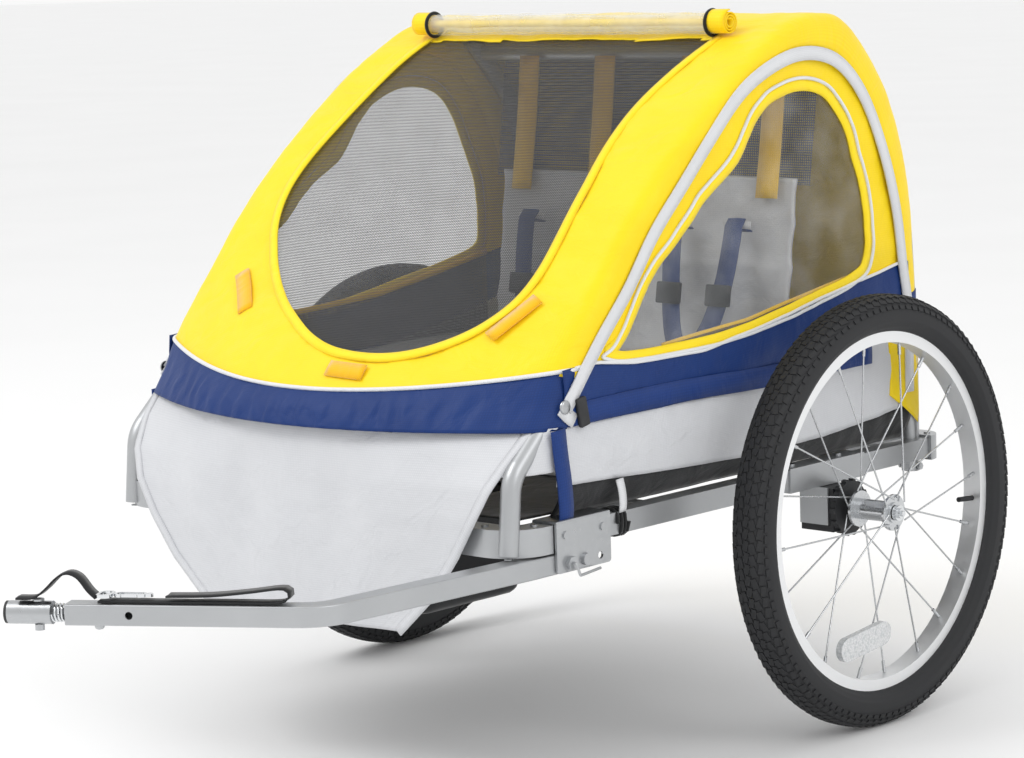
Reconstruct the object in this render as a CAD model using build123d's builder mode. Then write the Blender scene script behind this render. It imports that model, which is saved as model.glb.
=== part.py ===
from build123d import *
import math
import os

# A two-seat child bicycle trailer: a flat base frame of steel tube, two bent arch tubes that
# carry the fabric cabin, two spoked 20 inch wheels and a folding tow arm on the left.
# Millimetres. X is across (+X is the vehicle's left), -Y is forward, Z is up from the ground.
# Distances called "ahead" are measured forward from the wheel axle.

# wheels
WHEEL_R = 250.0
AXLE_Z = 250.0
WHEEL_X = 384.0
TYRE_SECTION = 47.0
RIM_EDGE_R = 209.5
RIM_INNER_R = 195.0
RIM_W = 23.4
RIM_WALL = 1.6
SPOKES_PER_FLANGE = 10
SPOKE_R = 1.0
FLANGE_GAP = 23.5
FLANGE_R = 21.0
FLANGE_T = 3.0
SPOKE_CIRCLE_R = 17.5
HUB_BARREL_R = 12.0
AXLE_R = 6.0
RUNNING_GAP = 0.05
SOFT_GAP = 0.3

# overall layout
HITCH_REACH = 975.7
AXLE_Y = (HITCH_REACH - WHEEL_R) / 2

# base frame
FRAME_Z = 288.0
FRAME_TUBE = 30.0
FRAME_WALL = 2.9
RAIL_TUBE = 24.0
RAIL_WALL = 1.8
RAIL_X = 301.7
FRONT_BAR_AHEAD = 526.0
REAR_BAR_AHEAD = -225.0
FRONT_SEAM_AHEAD = 484.0
REAR_SEAM_AHEAD = -208.0
CORNER_R = 34.0
RAIL_INSERT = 7.5
FLOOR_BAR = 18.0
FLOOR_BARS_AHEAD = (300.0, -145.0)

# arches
ARCH_X = 296.0
ARCH_R = 11.0
ARCH_WALL = 1.5
FOOT_BOLT_R = 2.5
ARCH_FOOT_DROP = 12.0
FRONT_FOOT_Z = FRAME_Z - FRAME_TUBE / 2 + FRAME_WALL + 0.1
REAR_FOOT_Z = FRAME_Z - FRAME_TUBE / 2 - ARCH_FOOT_DROP
FRONT_FOOT_AHEAD = 532.0
REAR_FOOT_AHEAD = -194.0
CROSS_BAR_R = 9.5
CROSS_BAR_AHEAD = -86.0
CROSS_BAR_Z = 770.0

# tow bracket, arm and hitch
ARM_TUBE_W = 25.0
ARM_TUBE_H = 21.5
ARM_WALL = 2.0
ARM_X = 304.5
ARM_Z = 260.2
PIVOT_AHEAD = 438.0
LOCK_AHEAD = 463.0
STORED_AHEAD = 2 * PIVOT_AHEAD - LOCK_AHEAD
ARM_TAIL_AHEAD = 430.0
BRACKET_T = 3.0
BRACKET_FRONT_AHEAD = 483.0
BRACKET_REAR_AHEAD = 396.0
BRACKET_TOP_Z = 306.4
BRACKET_LOW_Z = 250.5
PIVOT_R = 4.0
LOCK_R = 4.0
ARM_BEND_X = 288.3
ARM_BEND_AHEAD = 797.0
ARM_END_X = 63.5
ARM_END_AHEAD = 932.3
ARM_STRAIGHT_AHEAD = 520.0
SPRING_LEN = 16.0
SPRING_R = 10.0
SPRING_WIRE_R = 1.4
SPRING_TURNS = 4
CORE_R = 5.0
HITCH_TUBE_R = 11.8
HITCH_TUBE_LEN = 46.0
HITCH_BORE_R = 8.0
BUSH_LEN = 3.0
HITCH_PIN_R = 3.0

# fabric cabin
HALF_WIDTH = 312.0
PANEL_T = 3.0
COVER_T = 3.0
BAND_LOW_Z = 402.0
BAND_TOP_Z = 432.0
SEAT_HALF = 235.0

# centre line of an arch tube, front foot to rear foot, as (ahead, height)
ARCH_LINE = [
    (FRONT_FOOT_AHEAD, FRONT_FOOT_Z),
    (FRONT_FOOT_AHEAD - 8, 356.0),
    (446.0, 428.0),
    (218.0, 694.0),
    (30.0, 806.0),
    (-60.0, 802.0),
    (-150.0, 700.0),
    (-184.0, 560.0),
    (REAR_FOOT_AHEAD, 420.0),
    (REAR_FOOT_AHEAD, REAR_FOOT_Z),
]
ARCH_BENDS = [40.0, 160.0, 300.0, 180.0, 70.0, 150.0, 300.0, 300.0]

os.makedirs("parts", exist_ok=True)


def y_of(ahead):
    """Model Y of a place given by its distance ahead of the axle."""
    return AXLE_Y - ahead


def save(part, name):
    part.label = name
    export_step(part, f"parts/{name}.step")


def side_name(side):
    return "left" if side > 0 else "right"


def side_point(ahead, height):
    """A point on Plane.YZ, whose own x runs along +Y and whose own y runs up."""
    return (y_of(ahead), height)


# ---------------------------------------------------------------- base frame


def frame_u(name, bar_ahead, seam_ahead, foot_holes):
    """A U of square tube: one cross bar, two round corners and two short legs."""
    section = FRAME_TUBE
    legs_y = y_of(seam_ahead)
    bar_y = y_of(bar_ahead)
    with BuildPart() as frame:
        with BuildLine() as run:
            FilletPolyline(
                (-RAIL_X, legs_y, FRAME_Z),
                (-RAIL_X, bar_y, FRAME_Z),
                (RAIL_X, bar_y, FRAME_Z),
                (RAIL_X, legs_y, FRAME_Z),
                radius=min(CORNER_R, 0.9 * abs(legs_y - bar_y)),
            )
        with BuildSketch(run.line ^ 0) as tube:
            Rectangle(section, section)
            Rectangle(section - 2 * FRAME_WALL, section - 2 * FRAME_WALL, mode=Mode.SUBTRACT)
        sweep(transition=Transition.RIGHT)
        for hole_x in foot_holes:
            foot = Vector(hole_x, *side_point(*ARCH_LINE[0]))
            knee = Vector(hole_x, *side_point(*ARCH_LINE[1]))
            with BuildSketch(Plane(foot, z_dir=knee - foot)):
                Circle(ARCH_R + RUNNING_GAP)
            extrude(amount=2 * section, mode=Mode.SUBTRACT)
    save(frame.part, name)


frame_u("front_frame_tube", FRONT_BAR_AHEAD, FRONT_SEAM_AHEAD, [ARCH_X, -ARCH_X])
frame_u("rear_frame_tube", REAR_BAR_AHEAD, REAR_SEAM_AHEAD, [])

rail_front_y = y_of(FRONT_SEAM_AHEAD + RAIL_INSERT)
rail_rear_y = y_of(REAR_SEAM_AHEAD)
for side in (1, -1):
    with BuildPart() as rail:
        with BuildSketch(Plane.XZ.offset(-rail_front_y)):
            with Locations((side * RAIL_X, FRAME_Z)):
                Rectangle(RAIL_TUBE, RAIL_TUBE)
                Rectangle(RAIL_TUBE - 2 * RAIL_WALL, RAIL_TUBE - 2 * RAIL_WALL, mode=Mode.SUBTRACT)
        extrude(amount=rail_front_y - rail_rear_y)
        with Locations((side * ARCH_X, y_of(REAR_FOOT_AHEAD), FRAME_Z)):
            Cylinder(ARCH_R + RUNNING_GAP, 2 * RAIL_TUBE, mode=Mode.SUBTRACT)
    save(rail.part, f"{side_name(side)}_side_rail")

with BuildPart() as floor_bars:
    for bar_ahead in FLOOR_BARS_AHEAD:
        with Locations((0, y_of(bar_ahead), FRAME_Z)):
            Box(2 * RAIL_X - RAIL_TUBE, FLOOR_BAR, FLOOR_BAR)
            Box(2 * RAIL_X, FLOOR_BAR - 3, FLOOR_BAR - 3, mode=Mode.SUBTRACT)
save(floor_bars.part, "floor_cross_bars")

# ---------------------------------------------------------------- arches and cross bar

for side in (1, -1):
    with BuildPart() as arch:
        with BuildLine(Plane.YZ.offset(side * ARCH_X)) as route:
            FilletPolyline(*[side_point(*spot) for spot in ARCH_LINE], radius=ARCH_BENDS)
        with BuildSketch(route.line ^ 0):
            Circle(ARCH_R)
            Circle(ARCH_R - ARCH_WALL, mode=Mode.SUBTRACT)
        sweep()
        with Locations(Location((side * ARCH_X, y_of(REAR_FOOT_AHEAD), REAR_FOOT_Z + 6), (0, 90, 0))):
            Cylinder(FOOT_BOLT_R, 4 * ARCH_R, mode=Mode.SUBTRACT)
    save(arch.part, f"{side_name(side)}_arch_tube")

with BuildPart() as cross_bar:
    half = ARCH_X - ARCH_R
    with BuildSketch(Plane.YZ.offset(-half)):
        with Locations(side_point(CROSS_BAR_AHEAD, CROSS_BAR_Z)):
            Circle(CROSS_BAR_R)
            Circle(CROSS_BAR_R - 1.5, mode=Mode.SUBTRACT)
    extrude(amount=2 * half)
save(cross_bar.part, "top_cross_bar")

with BuildPart() as foot_bolts:
    for side in (1, -1):
        bolt_y = y_of(REAR_FOOT_AHEAD)
        with Locations(Location((side * ARCH_X, bolt_y, REAR_FOOT_Z + 6), (0, 90, 0))):
            Cylinder(FOOT_BOLT_R, 2 * ARCH_R + 2.0)
        for end in (1, -1):
            head_spot = (side * ARCH_X + end * (ARCH_R + 0.5), bolt_y, REAR_FOOT_Z + 6)
            with BuildSketch(Plane(head_spot, x_dir=(0, 1, 0), z_dir=(end, 0, 0))):
                RegularPolygon(4.6, 6)
            extrude(amount=4.0)
        with Locations((side * ARCH_X, y_of(FRONT_FOOT_AHEAD), FRAME_Z - FRAME_TUBE / 2 - 0.6)):
            Cylinder(4.5, 1.2)
save(foot_bolts.part, "arch_foot_bolts")

# ---------------------------------------------------------------- axle mountings

SLEEVE_HALF_LEN = 72.0
SLEEVE_W = RAIL_TUBE + 4.4
CHEEK_GAP = 36.0
CHEEK_T = 2.5
BLOCK_OUT_X = 336.0
BLOCK_LOW_Z = 222.0
BLOCK_TOP_Z = 273.0
GUARD_X = 345.0
GUARD_T = 7.0
GUARD_R = 31.0
GUARD_TEETH = 14

with BuildPart() as axle_brackets:
    for side in (1, -1):
        middle_x = side * RAIL_X
        with BuildSketch(Plane.XZ.offset(-(AXLE_Y - SLEEVE_HALF_LEN))):
            with Locations((middle_x, FRAME_Z)):
                Rectangle(SLEEVE_W, SLEEVE_W)
                Rectangle(RAIL_TUBE + 0.2, RAIL_TUBE + 0.2, mode=Mode.SUBTRACT)
        extrude(amount=-2 * SLEEVE_HALF_LEN)
        for end in (1, -1):
            cheek_y = AXLE_Y + end * (CHEEK_GAP / 2 + CHEEK_T / 2)
            cheek_low = BLOCK_LOW_Z + 8
            cheek_top = FRAME_Z - SLEEVE_W / 2
            with Locations((middle_x + side * 8, cheek_y, (cheek_low + cheek_top) / 2)):
                Box(40.0, CHEEK_T, cheek_top - cheek_low)
save(axle_brackets.part, "axle_brackets")

with BuildPart() as axle_blocks:
    for side in (1, -1):
        block_w = BLOCK_OUT_X - (RAIL_X - RAIL_TUBE / 2)
        block_x = side * (BLOCK_OUT_X - block_w / 2)
        with Locations((block_x, AXLE_Y, (BLOCK_LOW_Z + BLOCK_TOP_Z) / 2)):
            Box(block_w, CHEEK_GAP - 0.2, BLOCK_TOP_Z - BLOCK_LOW_Z)
        with Locations(Location((block_x, AXLE_Y, AXLE_Z), (0, 90, 0))):
            Cylinder(AXLE_R + RUNNING_GAP, 2 * block_w, mode=Mode.SUBTRACT)
save(axle_blocks.part, "axle_blocks")

with BuildPart() as hub_guards:
    for side in (1, -1):
        with BuildSketch(Plane.YZ.offset(side * GUARD_X)):
            with Locations((AXLE_Y, AXLE_Z)):
                Circle(GUARD_R)
                with PolarLocations(GUARD_R, GUARD_TEETH):
                    Rectangle(5.0, 5.0)
                Circle(AXLE_R + RUNNING_GAP, mode=Mode.SUBTRACT)
        extrude(amount=GUARD_T / 2, both=True)
        with BuildSketch(Plane.YZ.offset(side * BLOCK_OUT_X)):
            with Locations((AXLE_Y, AXLE_Z)):
                Circle(15.0)
                Circle(AXLE_R + RUNNING_GAP, mode=Mode.SUBTRACT)
        extrude(amount=side * (GUARD_X - BLOCK_OUT_X))
save(hub_guards.part, "hub_guards")

HUB_OUT_X = WHEEL_X + FLANGE_GAP + FLANGE_T / 2 + 2.0
AXLE_END_X = HUB_OUT_X + 9.0
BUTTON_R = 3.2
BUTTON_DEPTH = 12.0
BUTTON_OUT = 3.0
BUTTON_TRAVEL = 2.4

with BuildPart() as axles:
    for side in (1, -1):
        in_x = RAIL_X - RAIL_TUBE / 2
        with BuildSketch(Plane.YZ.offset(side * in_x)):
            with Locations((AXLE_Y, AXLE_Z)):
                Circle(AXLE_R)
        extrude(amount=side * (AXLE_END_X - in_x))
        with BuildSketch(Plane.YZ.offset(side * (HUB_OUT_X + 1.0))):
            with Locations((AXLE_Y, AXLE_Z)):
                Circle(9.0)
        extrude(amount=side * 5.0)
        with BuildSketch(Plane.YZ.offset(side * AXLE_END_X)):
            with Locations((AXLE_Y, AXLE_Z)):
                Circle(BUTTON_R + RUNNING_GAP)
        extrude(amount=-side * (BUTTON_DEPTH + BUTTON_TRAVEL + 0.5), mode=Mode.SUBTRACT)
save(axles.part, "wheel_axles")

for side in (1, -1):
    with BuildPart() as button:
        with BuildSketch(Plane.YZ.offset(side * (AXLE_END_X - BUTTON_DEPTH))):
            with Locations((AXLE_Y, AXLE_Z)):
                Circle(BUTTON_R)
        extrude(amount=side * (BUTTON_DEPTH + BUTTON_OUT))
        fillet(button.edges().group_by(Axis.X)[-1 if side > 0 else 0], 1.0)
    save(button.part, f"{side_name(side)}_axle_button")

# ---------------------------------------------------------------- wheels

TUBE_R = 18.5
TUBE_CENTRE_R = WHEEL_R - TYRE_SECTION / 2
NIPPLE_R = 2.0
NIPPLE_LEN = 13.0
REFLECTOR_R = 152.0
REFLECTOR_ANGLE = -112.5
REFLECTOR_LEN = 96.0
REFLECTOR_W = 27.0
REFLECTOR_TILT = 6.0
VALVE_R = 3.0
VALVE_LEN = 42.0
VALVE_ANGLE = -4.5
FIRST_SPOKE_ANGLE = 4.5
SPOKE_PITCH = 360 / SPOKES_PER_FLANGE
SPOKE_LEAN = 40.0


def wheel_plane(side):
    """Plane across the axle through the wheel's middle, its normal pointing outwards."""
    return Plane((side * WHEEL_X, AXLE_Y, AXLE_Z), x_dir=(0, side, 0), z_dir=(side, 0, 0))


def rim_point(plane, radius, degrees, out):
    turn = math.radians(degrees)
    return plane.from_local_coords((radius * math.cos(turn), radius * math.sin(turn), out))


for side in (1, -1):
    name = side_name(side)
    hub_plane = wheel_plane(side)
    spin = Axis((0, AXLE_Y, AXLE_Z), (1, 0, 0))
    profile = Plane((side * WHEEL_X, AXLE_Y, AXLE_Z), x_dir=(side, 0, 0), z_dir=(0, -side, 0))

    with BuildPart() as tyre:
        with BuildSketch(profile):
            with Locations((0, WHEEL_R - TYRE_SECTION / 2)):
                Circle(TYRE_SECTION / 2)
            with Locations((0, RIM_EDGE_R - 10.0)):
                Rectangle(TYRE_SECTION, 20.0, mode=Mode.SUBTRACT)
            with Locations((0, TUBE_CENTRE_R)):
                Circle(TUBE_R + SOFT_GAP, mode=Mode.SUBTRACT)
        revolve(axis=spin)
    save(tyre.part, f"{name}_tyre")

    with BuildPart() as inner_tube:
        with BuildSketch(profile):
            with Locations((0, TUBE_CENTRE_R)):
                Circle(TUBE_R)
                Circle(TUBE_R - 1.5, mode=Mode.SUBTRACT)
        revolve(axis=spin)
        stem_foot = rim_point(hub_plane, TUBE_CENTRE_R - TUBE_R + 0.8, VALVE_ANGLE, 0)
        stem_way = rim_point(hub_plane, 0, VALVE_ANGLE, 0) - stem_foot
        with BuildSketch(Plane(stem_foot, z_dir=stem_way)):
            Circle(VALVE_R)
        extrude(amount=VALVE_LEN)
    save(inner_tube.part, f"{name}_inner_tube")

    with BuildPart() as rim:
        with BuildSketch(profile):
            with Locations((0, (RIM_EDGE_R + RIM_INNER_R) / 2)):
                Rectangle(RIM_W, RIM_EDGE_R - RIM_INNER_R)
            with Locations((0, RIM_EDGE_R)):
                Rectangle(RIM_W - 2 * RIM_WALL, 14.0, mode=Mode.SUBTRACT)
            with Locations((0, RIM_INNER_R + 3.4)):
                Rectangle(RIM_W - 2 * RIM_WALL, 3.2, mode=Mode.SUBTRACT)
        revolve(axis=spin)
        with BuildSketch(Plane(stem_foot, z_dir=stem_way)):
            Circle(VALVE_R + SOFT_GAP)
        extrude(amount=VALVE_LEN, mode=Mode.SUBTRACT)
    save(rim.part, f"{name}_rim")

    with BuildPart() as hub:
        with BuildSketch(hub_plane):
            Circle(HUB_BARREL_R)
        extrude(amount=HUB_OUT_X - WHEEL_X, both=True)
        for flange in (1, -1):
            with BuildSketch(hub_plane.offset(flange * FLANGE_GAP)):
                Circle(FLANGE_R)
            extrude(amount=FLANGE_T / 2, both=True)
        with BuildSketch(hub_plane):
            Circle(AXLE_R + RUNNING_GAP)
        extrude(amount=2 * FLANGE_GAP, both=True, mode=Mode.SUBTRACT)
    save(hub.part, f"{name}_hub")

    with BuildPart() as spokes:
        for flange in (1, -1):
            for k in range(SPOKES_PER_FLANGE):
                at_rim = FIRST_SPOKE_ANGLE + (k + (0.0 if flange > 0 else 0.5)) * SPOKE_PITCH
                lean = SPOKE_LEAN if k % 2 else -SPOKE_LEAN
                over = 0.7 if k % 2 else 3.6
                out = flange * (FLANGE_GAP + FLANGE_T / 2 + SPOKE_R + over)
                start = rim_point(hub_plane, SPOKE_CIRCLE_R, at_rim + lean, out)
                end = rim_point(hub_plane, RIM_INNER_R - 0.9, at_rim, flange * 3.0)
                length = (end - start).length
                with BuildSketch(Plane(start, z_dir=end - start)):
                    Circle(SPOKE_R)
                extrude(amount=length)
                with BuildSketch(Plane(end, z_dir=start - end)):
                    Circle(NIPPLE_R)
                extrude(amount=NIPPLE_LEN)
    save(spokes.part, f"{name}_spokes")

    with BuildPart() as reflector:
        middle = rim_point(hub_plane, REFLECTOR_R, REFLECTOR_ANGLE, FLANGE_GAP - 2.0)
        with BuildSketch(Plane(middle, x_dir=(0, side, 0), z_dir=(side, 0, 0))):
            SlotOverall(REFLECTOR_LEN, REFLECTOR_W, rotation=REFLECTOR_TILT * side)
        extrude(amount=4.0, both=True)
    save(reflector.part, f"{name}_reflector")

# ---------------------------------------------------------------- tow bracket

ARM_OUT_X = ARM_X + ARM_TUBE_W / 2
PLATE_IN_X = ARM_OUT_X + 0.6
PLATE_FAR_X = ARM_X - ARM_TUBE_W / 2 - 2.6
bracket_len = BRACKET_FRONT_AHEAD - BRACKET_REAR_AHEAD
bracket_mid_y = y_of((BRACKET_FRONT_AHEAD + BRACKET_REAR_AHEAD) / 2)
bracket_mid_z = (BRACKET_TOP_Z + BRACKET_LOW_Z) / 2

with BuildPart() as bracket:
    for plate_x in (PLATE_IN_X + BRACKET_T / 2, PLATE_FAR_X - BRACKET_T / 2):
        with Locations((plate_x, bracket_mid_y, bracket_mid_z)):
            Box(BRACKET_T, bracket_len, BRACKET_TOP_Z - BRACKET_LOW_Z)
    top_w = PLATE_IN_X - PLATE_FAR_X + 2 * BRACKET_T
    with Locations(((PLATE_IN_X + PLATE_FAR_X) / 2, bracket_mid_y, BRACKET_TOP_Z - BRACKET_T / 2)):
        Box(top_w, bracket_len, BRACKET_T)
    fillet(bracket.edges().filter_by(Axis.Y).group_by(Axis.Z)[-1], 2.5)
    fillet(bracket.edges().filter_by(Axis.X).group_by(Axis.Z)[0], 4.0)
    for hole_ahead, hole_z, hole_r in (
        (PIVOT_AHEAD, ARM_Z, PIVOT_R),
        (LOCK_AHEAD, ARM_Z, LOCK_R + 0.1),
        (STORED_AHEAD, ARM_Z, LOCK_R + 0.1),
    ):
        with Locations(Location((ARM_X, y_of(hole_ahead), hole_z), (0, 90, 0))):
            Cylinder(hole_r, 60.0, mode=Mode.SUBTRACT)
save(bracket.part, "tow_bracket")

with BuildPart() as pivot_bolt:
    with BuildSketch(Plane.YZ.offset(PLATE_FAR_X - BRACKET_T - 5.0)):
        with Locations(side_point(PIVOT_AHEAD, ARM_Z)):
            Circle(PIVOT_R)
    extrude(amount=PLATE_IN_X - PLATE_FAR_X + 2 * BRACKET_T + 5.0)
    with BuildSketch(Plane.YZ.offset(PLATE_IN_X + BRACKET_T)):
        with Locations(side_point(PIVOT_AHEAD, ARM_Z)):
            Circle(6.5)
    extrude(amount=4.0)
    with BuildSketch(Plane.YZ.offset(PLATE_FAR_X - BRACKET_T)):
        with Locations(side_point(PIVOT_AHEAD, ARM_Z)):
            RegularPolygon(7.0, 6)
    extrude(amount=-4.5)
save(pivot_bolt.part, "arm_pivot_bolt")

# the lock pin ends in the outer plate's thickness, clear of the arm
LOCK_HEAD_T = 5.0
with BuildPart() as lock_pin:
    with BuildSketch(Plane.YZ.offset(PLATE_IN_X + 0.2)):
        with Locations(side_point(LOCK_AHEAD, ARM_Z)):
            Circle(LOCK_R)
    extrude(amount=BRACKET_T)
    with BuildSketch(Plane.YZ.offset(PLATE_IN_X + BRACKET_T + 0.1)):
        with Locations(side_point(LOCK_AHEAD, ARM_Z)):
            RegularPolygon(7.5, 6)
    extrude(amount=LOCK_HEAD_T)
    with BuildLine() as wire:
        wire_x = PLATE_IN_X + BRACKET_T + LOCK_HEAD_T - 1.0
        FilletPolyline(
            (wire_x, y_of(LOCK_AHEAD), ARM_Z),
            (wire_x + 5.0, y_of(LOCK_AHEAD), ARM_Z),
            (wire_x + 5.0, y_of(LOCK_AHEAD - 6), ARM_Z - 14),
            (wire_x + 2.0, y_of(STORED_AHEAD + 8), ARM_Z - 12),
            radius=2.2,
        )
    with BuildSketch(wire.line ^ 0):
        Circle(1.5)
    sweep()
save(lock_pin.part, "arm_lock_pin")

with BuildPart() as screws:
    for screw_ahead in (469.0, 409.0):
        with BuildSketch(Plane.YZ.offset(PLATE_IN_X + BRACKET_T)):
            with Locations(side_point(screw_ahead, 290.5)):
                Circle(4.2)
        extrude(amount=1.8)
    for side in (1, -1):
        for screw_ahead in (52.0, -38.0):
            with Locations((side * RAIL_X, y_of(screw_ahead), FRAME_Z + SLEEVE_W / 2 + 1.2)):
                Cylinder(4.5, 2.4)
        for rivet_x, rivet_ahead in ((258.0, FRONT_BAR_AHEAD), (RAIL_X, 497.0)):
            with Locations((side * rivet_x, y_of(rivet_ahead), FRAME_Z + FRAME_TUBE / 2 + 0.9)):
                Cylinder(4.0, 1.8)
        with Locations((side * RAIL_X, y_of(REAR_BAR_AHEAD + 4), FRAME_Z + FRAME_TUBE / 2 + 0.9)):
            Cylinder(4.0, 1.8)
save(screws.part, "frame_screws")

# ---------------------------------------------------------------- tow arm

arm_end = Vector(ARM_END_X, y_of(ARM_END_AHEAD), ARM_Z)
arm_bend = Vector(ARM_BEND_X, y_of(ARM_BEND_AHEAD), ARM_Z)
arm_way = (arm_end - arm_bend).normalized()
arm_across = Vector(-arm_way.Y, arm_way.X, 0)


def along_arm(distance, rise=0.0):
    """A point on the arm's slanted run, measured back from its end towards the bend."""
    return arm_end - arm_way * distance + Vector(0, 0, rise)


with BuildPart() as arm:
    with BuildLine() as arm_route:
        FilletPolyline(
            (ARM_X, y_of(ARM_TAIL_AHEAD), ARM_Z),
            (ARM_X, y_of(ARM_STRAIGHT_AHEAD), ARM_Z),
            tuple(arm_bend),
            tuple(arm_end),
            radius=[300.0, 46.0],
        )
    with BuildSketch(Plane(arm_route.line @ 0, x_dir=(1, 0, 0), z_dir=(0, -1, 0))):
        RectangleRounded(ARM_TUBE_W, ARM_TUBE_H, 2.0)
        Rectangle(ARM_TUBE_W - 2 * ARM_WALL, ARM_TUBE_H - 2 * ARM_WALL, mode=Mode.SUBTRACT)
    sweep()
    for hole_ahead, hole_r in ((PIVOT_AHEAD, PIVOT_R + RUNNING_GAP), (LOCK_AHEAD, LOCK_R + 0.1)):
        with Locations(Location((ARM_X, y_of(hole_ahead), ARM_Z), (0, 90, 0))):
            Cylinder(hole_r, 60.0, mode=Mode.SUBTRACT)
    side_hole = Plane(along_arm(67.0), x_dir=arm_way, z_dir=arm_across)
    with BuildSketch(side_hole):
        Circle(4.0)
    extrude(amount=20.0, both=True, mode=Mode.SUBTRACT)
save(arm.part, "tow_arm_tube")

PLUG_CAP_T = 2.0
PLUG_INSERT = 3.4
with BuildPart() as end_plug:
    plug_y = y_of(ARM_TAIL_AHEAD)
    with Locations((ARM_X, plug_y - PLUG_INSERT / 2, ARM_Z)):
        Box(ARM_TUBE_W - 2 * ARM_WALL - 0.1, PLUG_INSERT, ARM_TUBE_H - 2 * ARM_WALL - 0.1)
    with Locations((ARM_X, plug_y + PLUG_CAP_T / 2, ARM_Z)):
        Box(ARM_TUBE_W - 0.4, PLUG_CAP_T, ARM_TUBE_H - 0.4)
save(end_plug.part, "arm_end_plug")

with BuildPart() as arm_bolts:
    with BuildSketch(Plane(along_arm(32.0, -ARM_TUBE_H / 2), z_dir=(0, 0, -1))):
        Circle(5.0)
    extrude(amount=6.0)
    fillet(arm_bolts.edges().group_by(Axis.Z)[0], 3.5)
save(arm_bolts.part, "arm_bolts")

# ---------------------------------------------------------------- hitch

hitch_plane = Plane(arm_end, x_dir=arm_across, z_dir=arm_way)
HITCH_GAP = 0.6

with BuildPart() as spring:
    with BuildLine() as coil:
        Helix(
            pitch=(SPRING_LEN - 2 * SPRING_WIRE_R - 2 * HITCH_GAP) / SPRING_TURNS,
            height=SPRING_LEN - 2 * SPRING_WIRE_R - 2 * HITCH_GAP,
            radius=SPRING_R - SPRING_WIRE_R,
            center=tuple(arm_end + arm_way * (SPRING_WIRE_R + HITCH_GAP)),
            direction=tuple(arm_way),
        )
    with BuildSketch(coil.line ^ 0):
        Circle(SPRING_WIRE_R)
    sweep(is_frenet=True)
save(spring.part, "hitch_spring")

FLEX_MID = SPRING_LEN / 2
with BuildPart() as core:
    with BuildSketch(hitch_plane.offset(FLEX_MID)):
        Circle(CORE_R)
    extrude(amount=2.4, both=True)
save(core.part, "hitch_core")

BORE_DEPTH = 26.0
with BuildPart() as hitch_tube:
    with BuildSketch(hitch_plane.offset(SPRING_LEN)):
        Circle(HITCH_TUBE_R)
    extrude(amount=HITCH_TUBE_LEN)
    with BuildSketch(hitch_plane.offset(SPRING_LEN + HITCH_TUBE_LEN)):
        Circle(HITCH_BORE_R)
    extrude(amount=-BORE_DEPTH, mode=Mode.SUBTRACT)
    pin_spot = arm_end + arm_way * (SPRING_LEN + HITCH_TUBE_LEN - BORE_DEPTH - 5.0)
    with BuildSketch(Plane(pin_spot, z_dir=(0, 0, 1))):
        Circle(HITCH_PIN_R)
    extrude(amount=20.0, both=True, mode=Mode.SUBTRACT)
save(hitch_tube.part, "hitch_tube")

with BuildPart() as bush:
    with BuildSketch(hitch_plane.offset(SPRING_LEN + HITCH_TUBE_LEN)):
        Circle(HITCH_TUBE_R - 0.3)
        Circle(HITCH_BORE_R, mode=Mode.SUBTRACT)
    extrude(amount=BUSH_LEN)
save(bush.part, "hitch_end_bush")

with BuildPart() as hitch_pin:
    with BuildSketch(Plane(pin_spot, z_dir=(0, 0, 1))):
        Circle(HITCH_PIN_R)
    extrude(amount=HITCH_TUBE_R + 2.0, both=True)
    with BuildSketch(Plane(pin_spot - Vector(0, 0, HITCH_TUBE_R + 0.2), z_dir=(0, 0, -1))):
        Circle(4.8)
    extrude(amount=6.0)
    with BuildSketch(Plane(pin_spot + Vector(0, 0, HITCH_TUBE_R + 0.2), z_dir=(0, 0, 1))):
        Circle(6.0)
    extrude(amount=2.0)
save(hitch_pin.part, "hitch_pin")

# ---------------------------------------------------------------- safety strap on the arm

STRAP_W = 19.0
STRAP_T = 2.2
arm_top = ARM_Z + ARM_TUBE_H / 2 + 0.4
strap_plane = Plane(Vector(arm_end.X, arm_end.Y, 0), x_dir=-arm_way, z_dir=arm_across)


def strap_band(name, spots, radii):
    """A webbing band that stands on its thickness in the arm's own vertical plane."""
    with BuildPart() as band:
        with BuildSketch(strap_plane.offset(-STRAP_W / 2)):
            with BuildLine() as course:
                FilletPolyline(*spots, radius=radii)
            trace(course.line, STRAP_T)
        extrude(amount=STRAP_W)
    save(band.part, name)


# distances run from the arm's end towards its bend; heights are from the ground
strap_low = arm_top + STRAP_T / 2
strap_band(
    "safety_strap",
    [
        (33.0, strap_low),
        (150.0, strap_low),
        (222.0, strap_low + 1),
        (227.0, strap_low + 17),
        (100.0, strap_low + 9),
    ],
    [40.0, 2.0, 7.0],
)
hitch_top = ARM_Z + HITCH_TUBE_R + 2.6
strap_band(
    "safety_strap_front",
    [(-52.0, hitch_top + 2), (-32.0, hitch_top + 3), (-8.0, 300.0), (14.0, 300.0), (30.0, strap_low + 3.5)],
    [8.0, 14.0, 12.0],
)

HOOK_H = 8.0
with BuildPart() as d_ring:
    with BuildSketch(Plane(along_arm(40.0, ARM_TUBE_H / 2 + HOOK_H), x_dir=arm_way, z_dir=(0, 0, 1))):
        RectangleRounded(16.0, 24.0, 6.0)
        RectangleRounded(10.0, 18.0, 4.0, mode=Mode.SUBTRACT)
    extrude(amount=1.6, both=True)
save(d_ring.part, "strap_d_ring")

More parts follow.
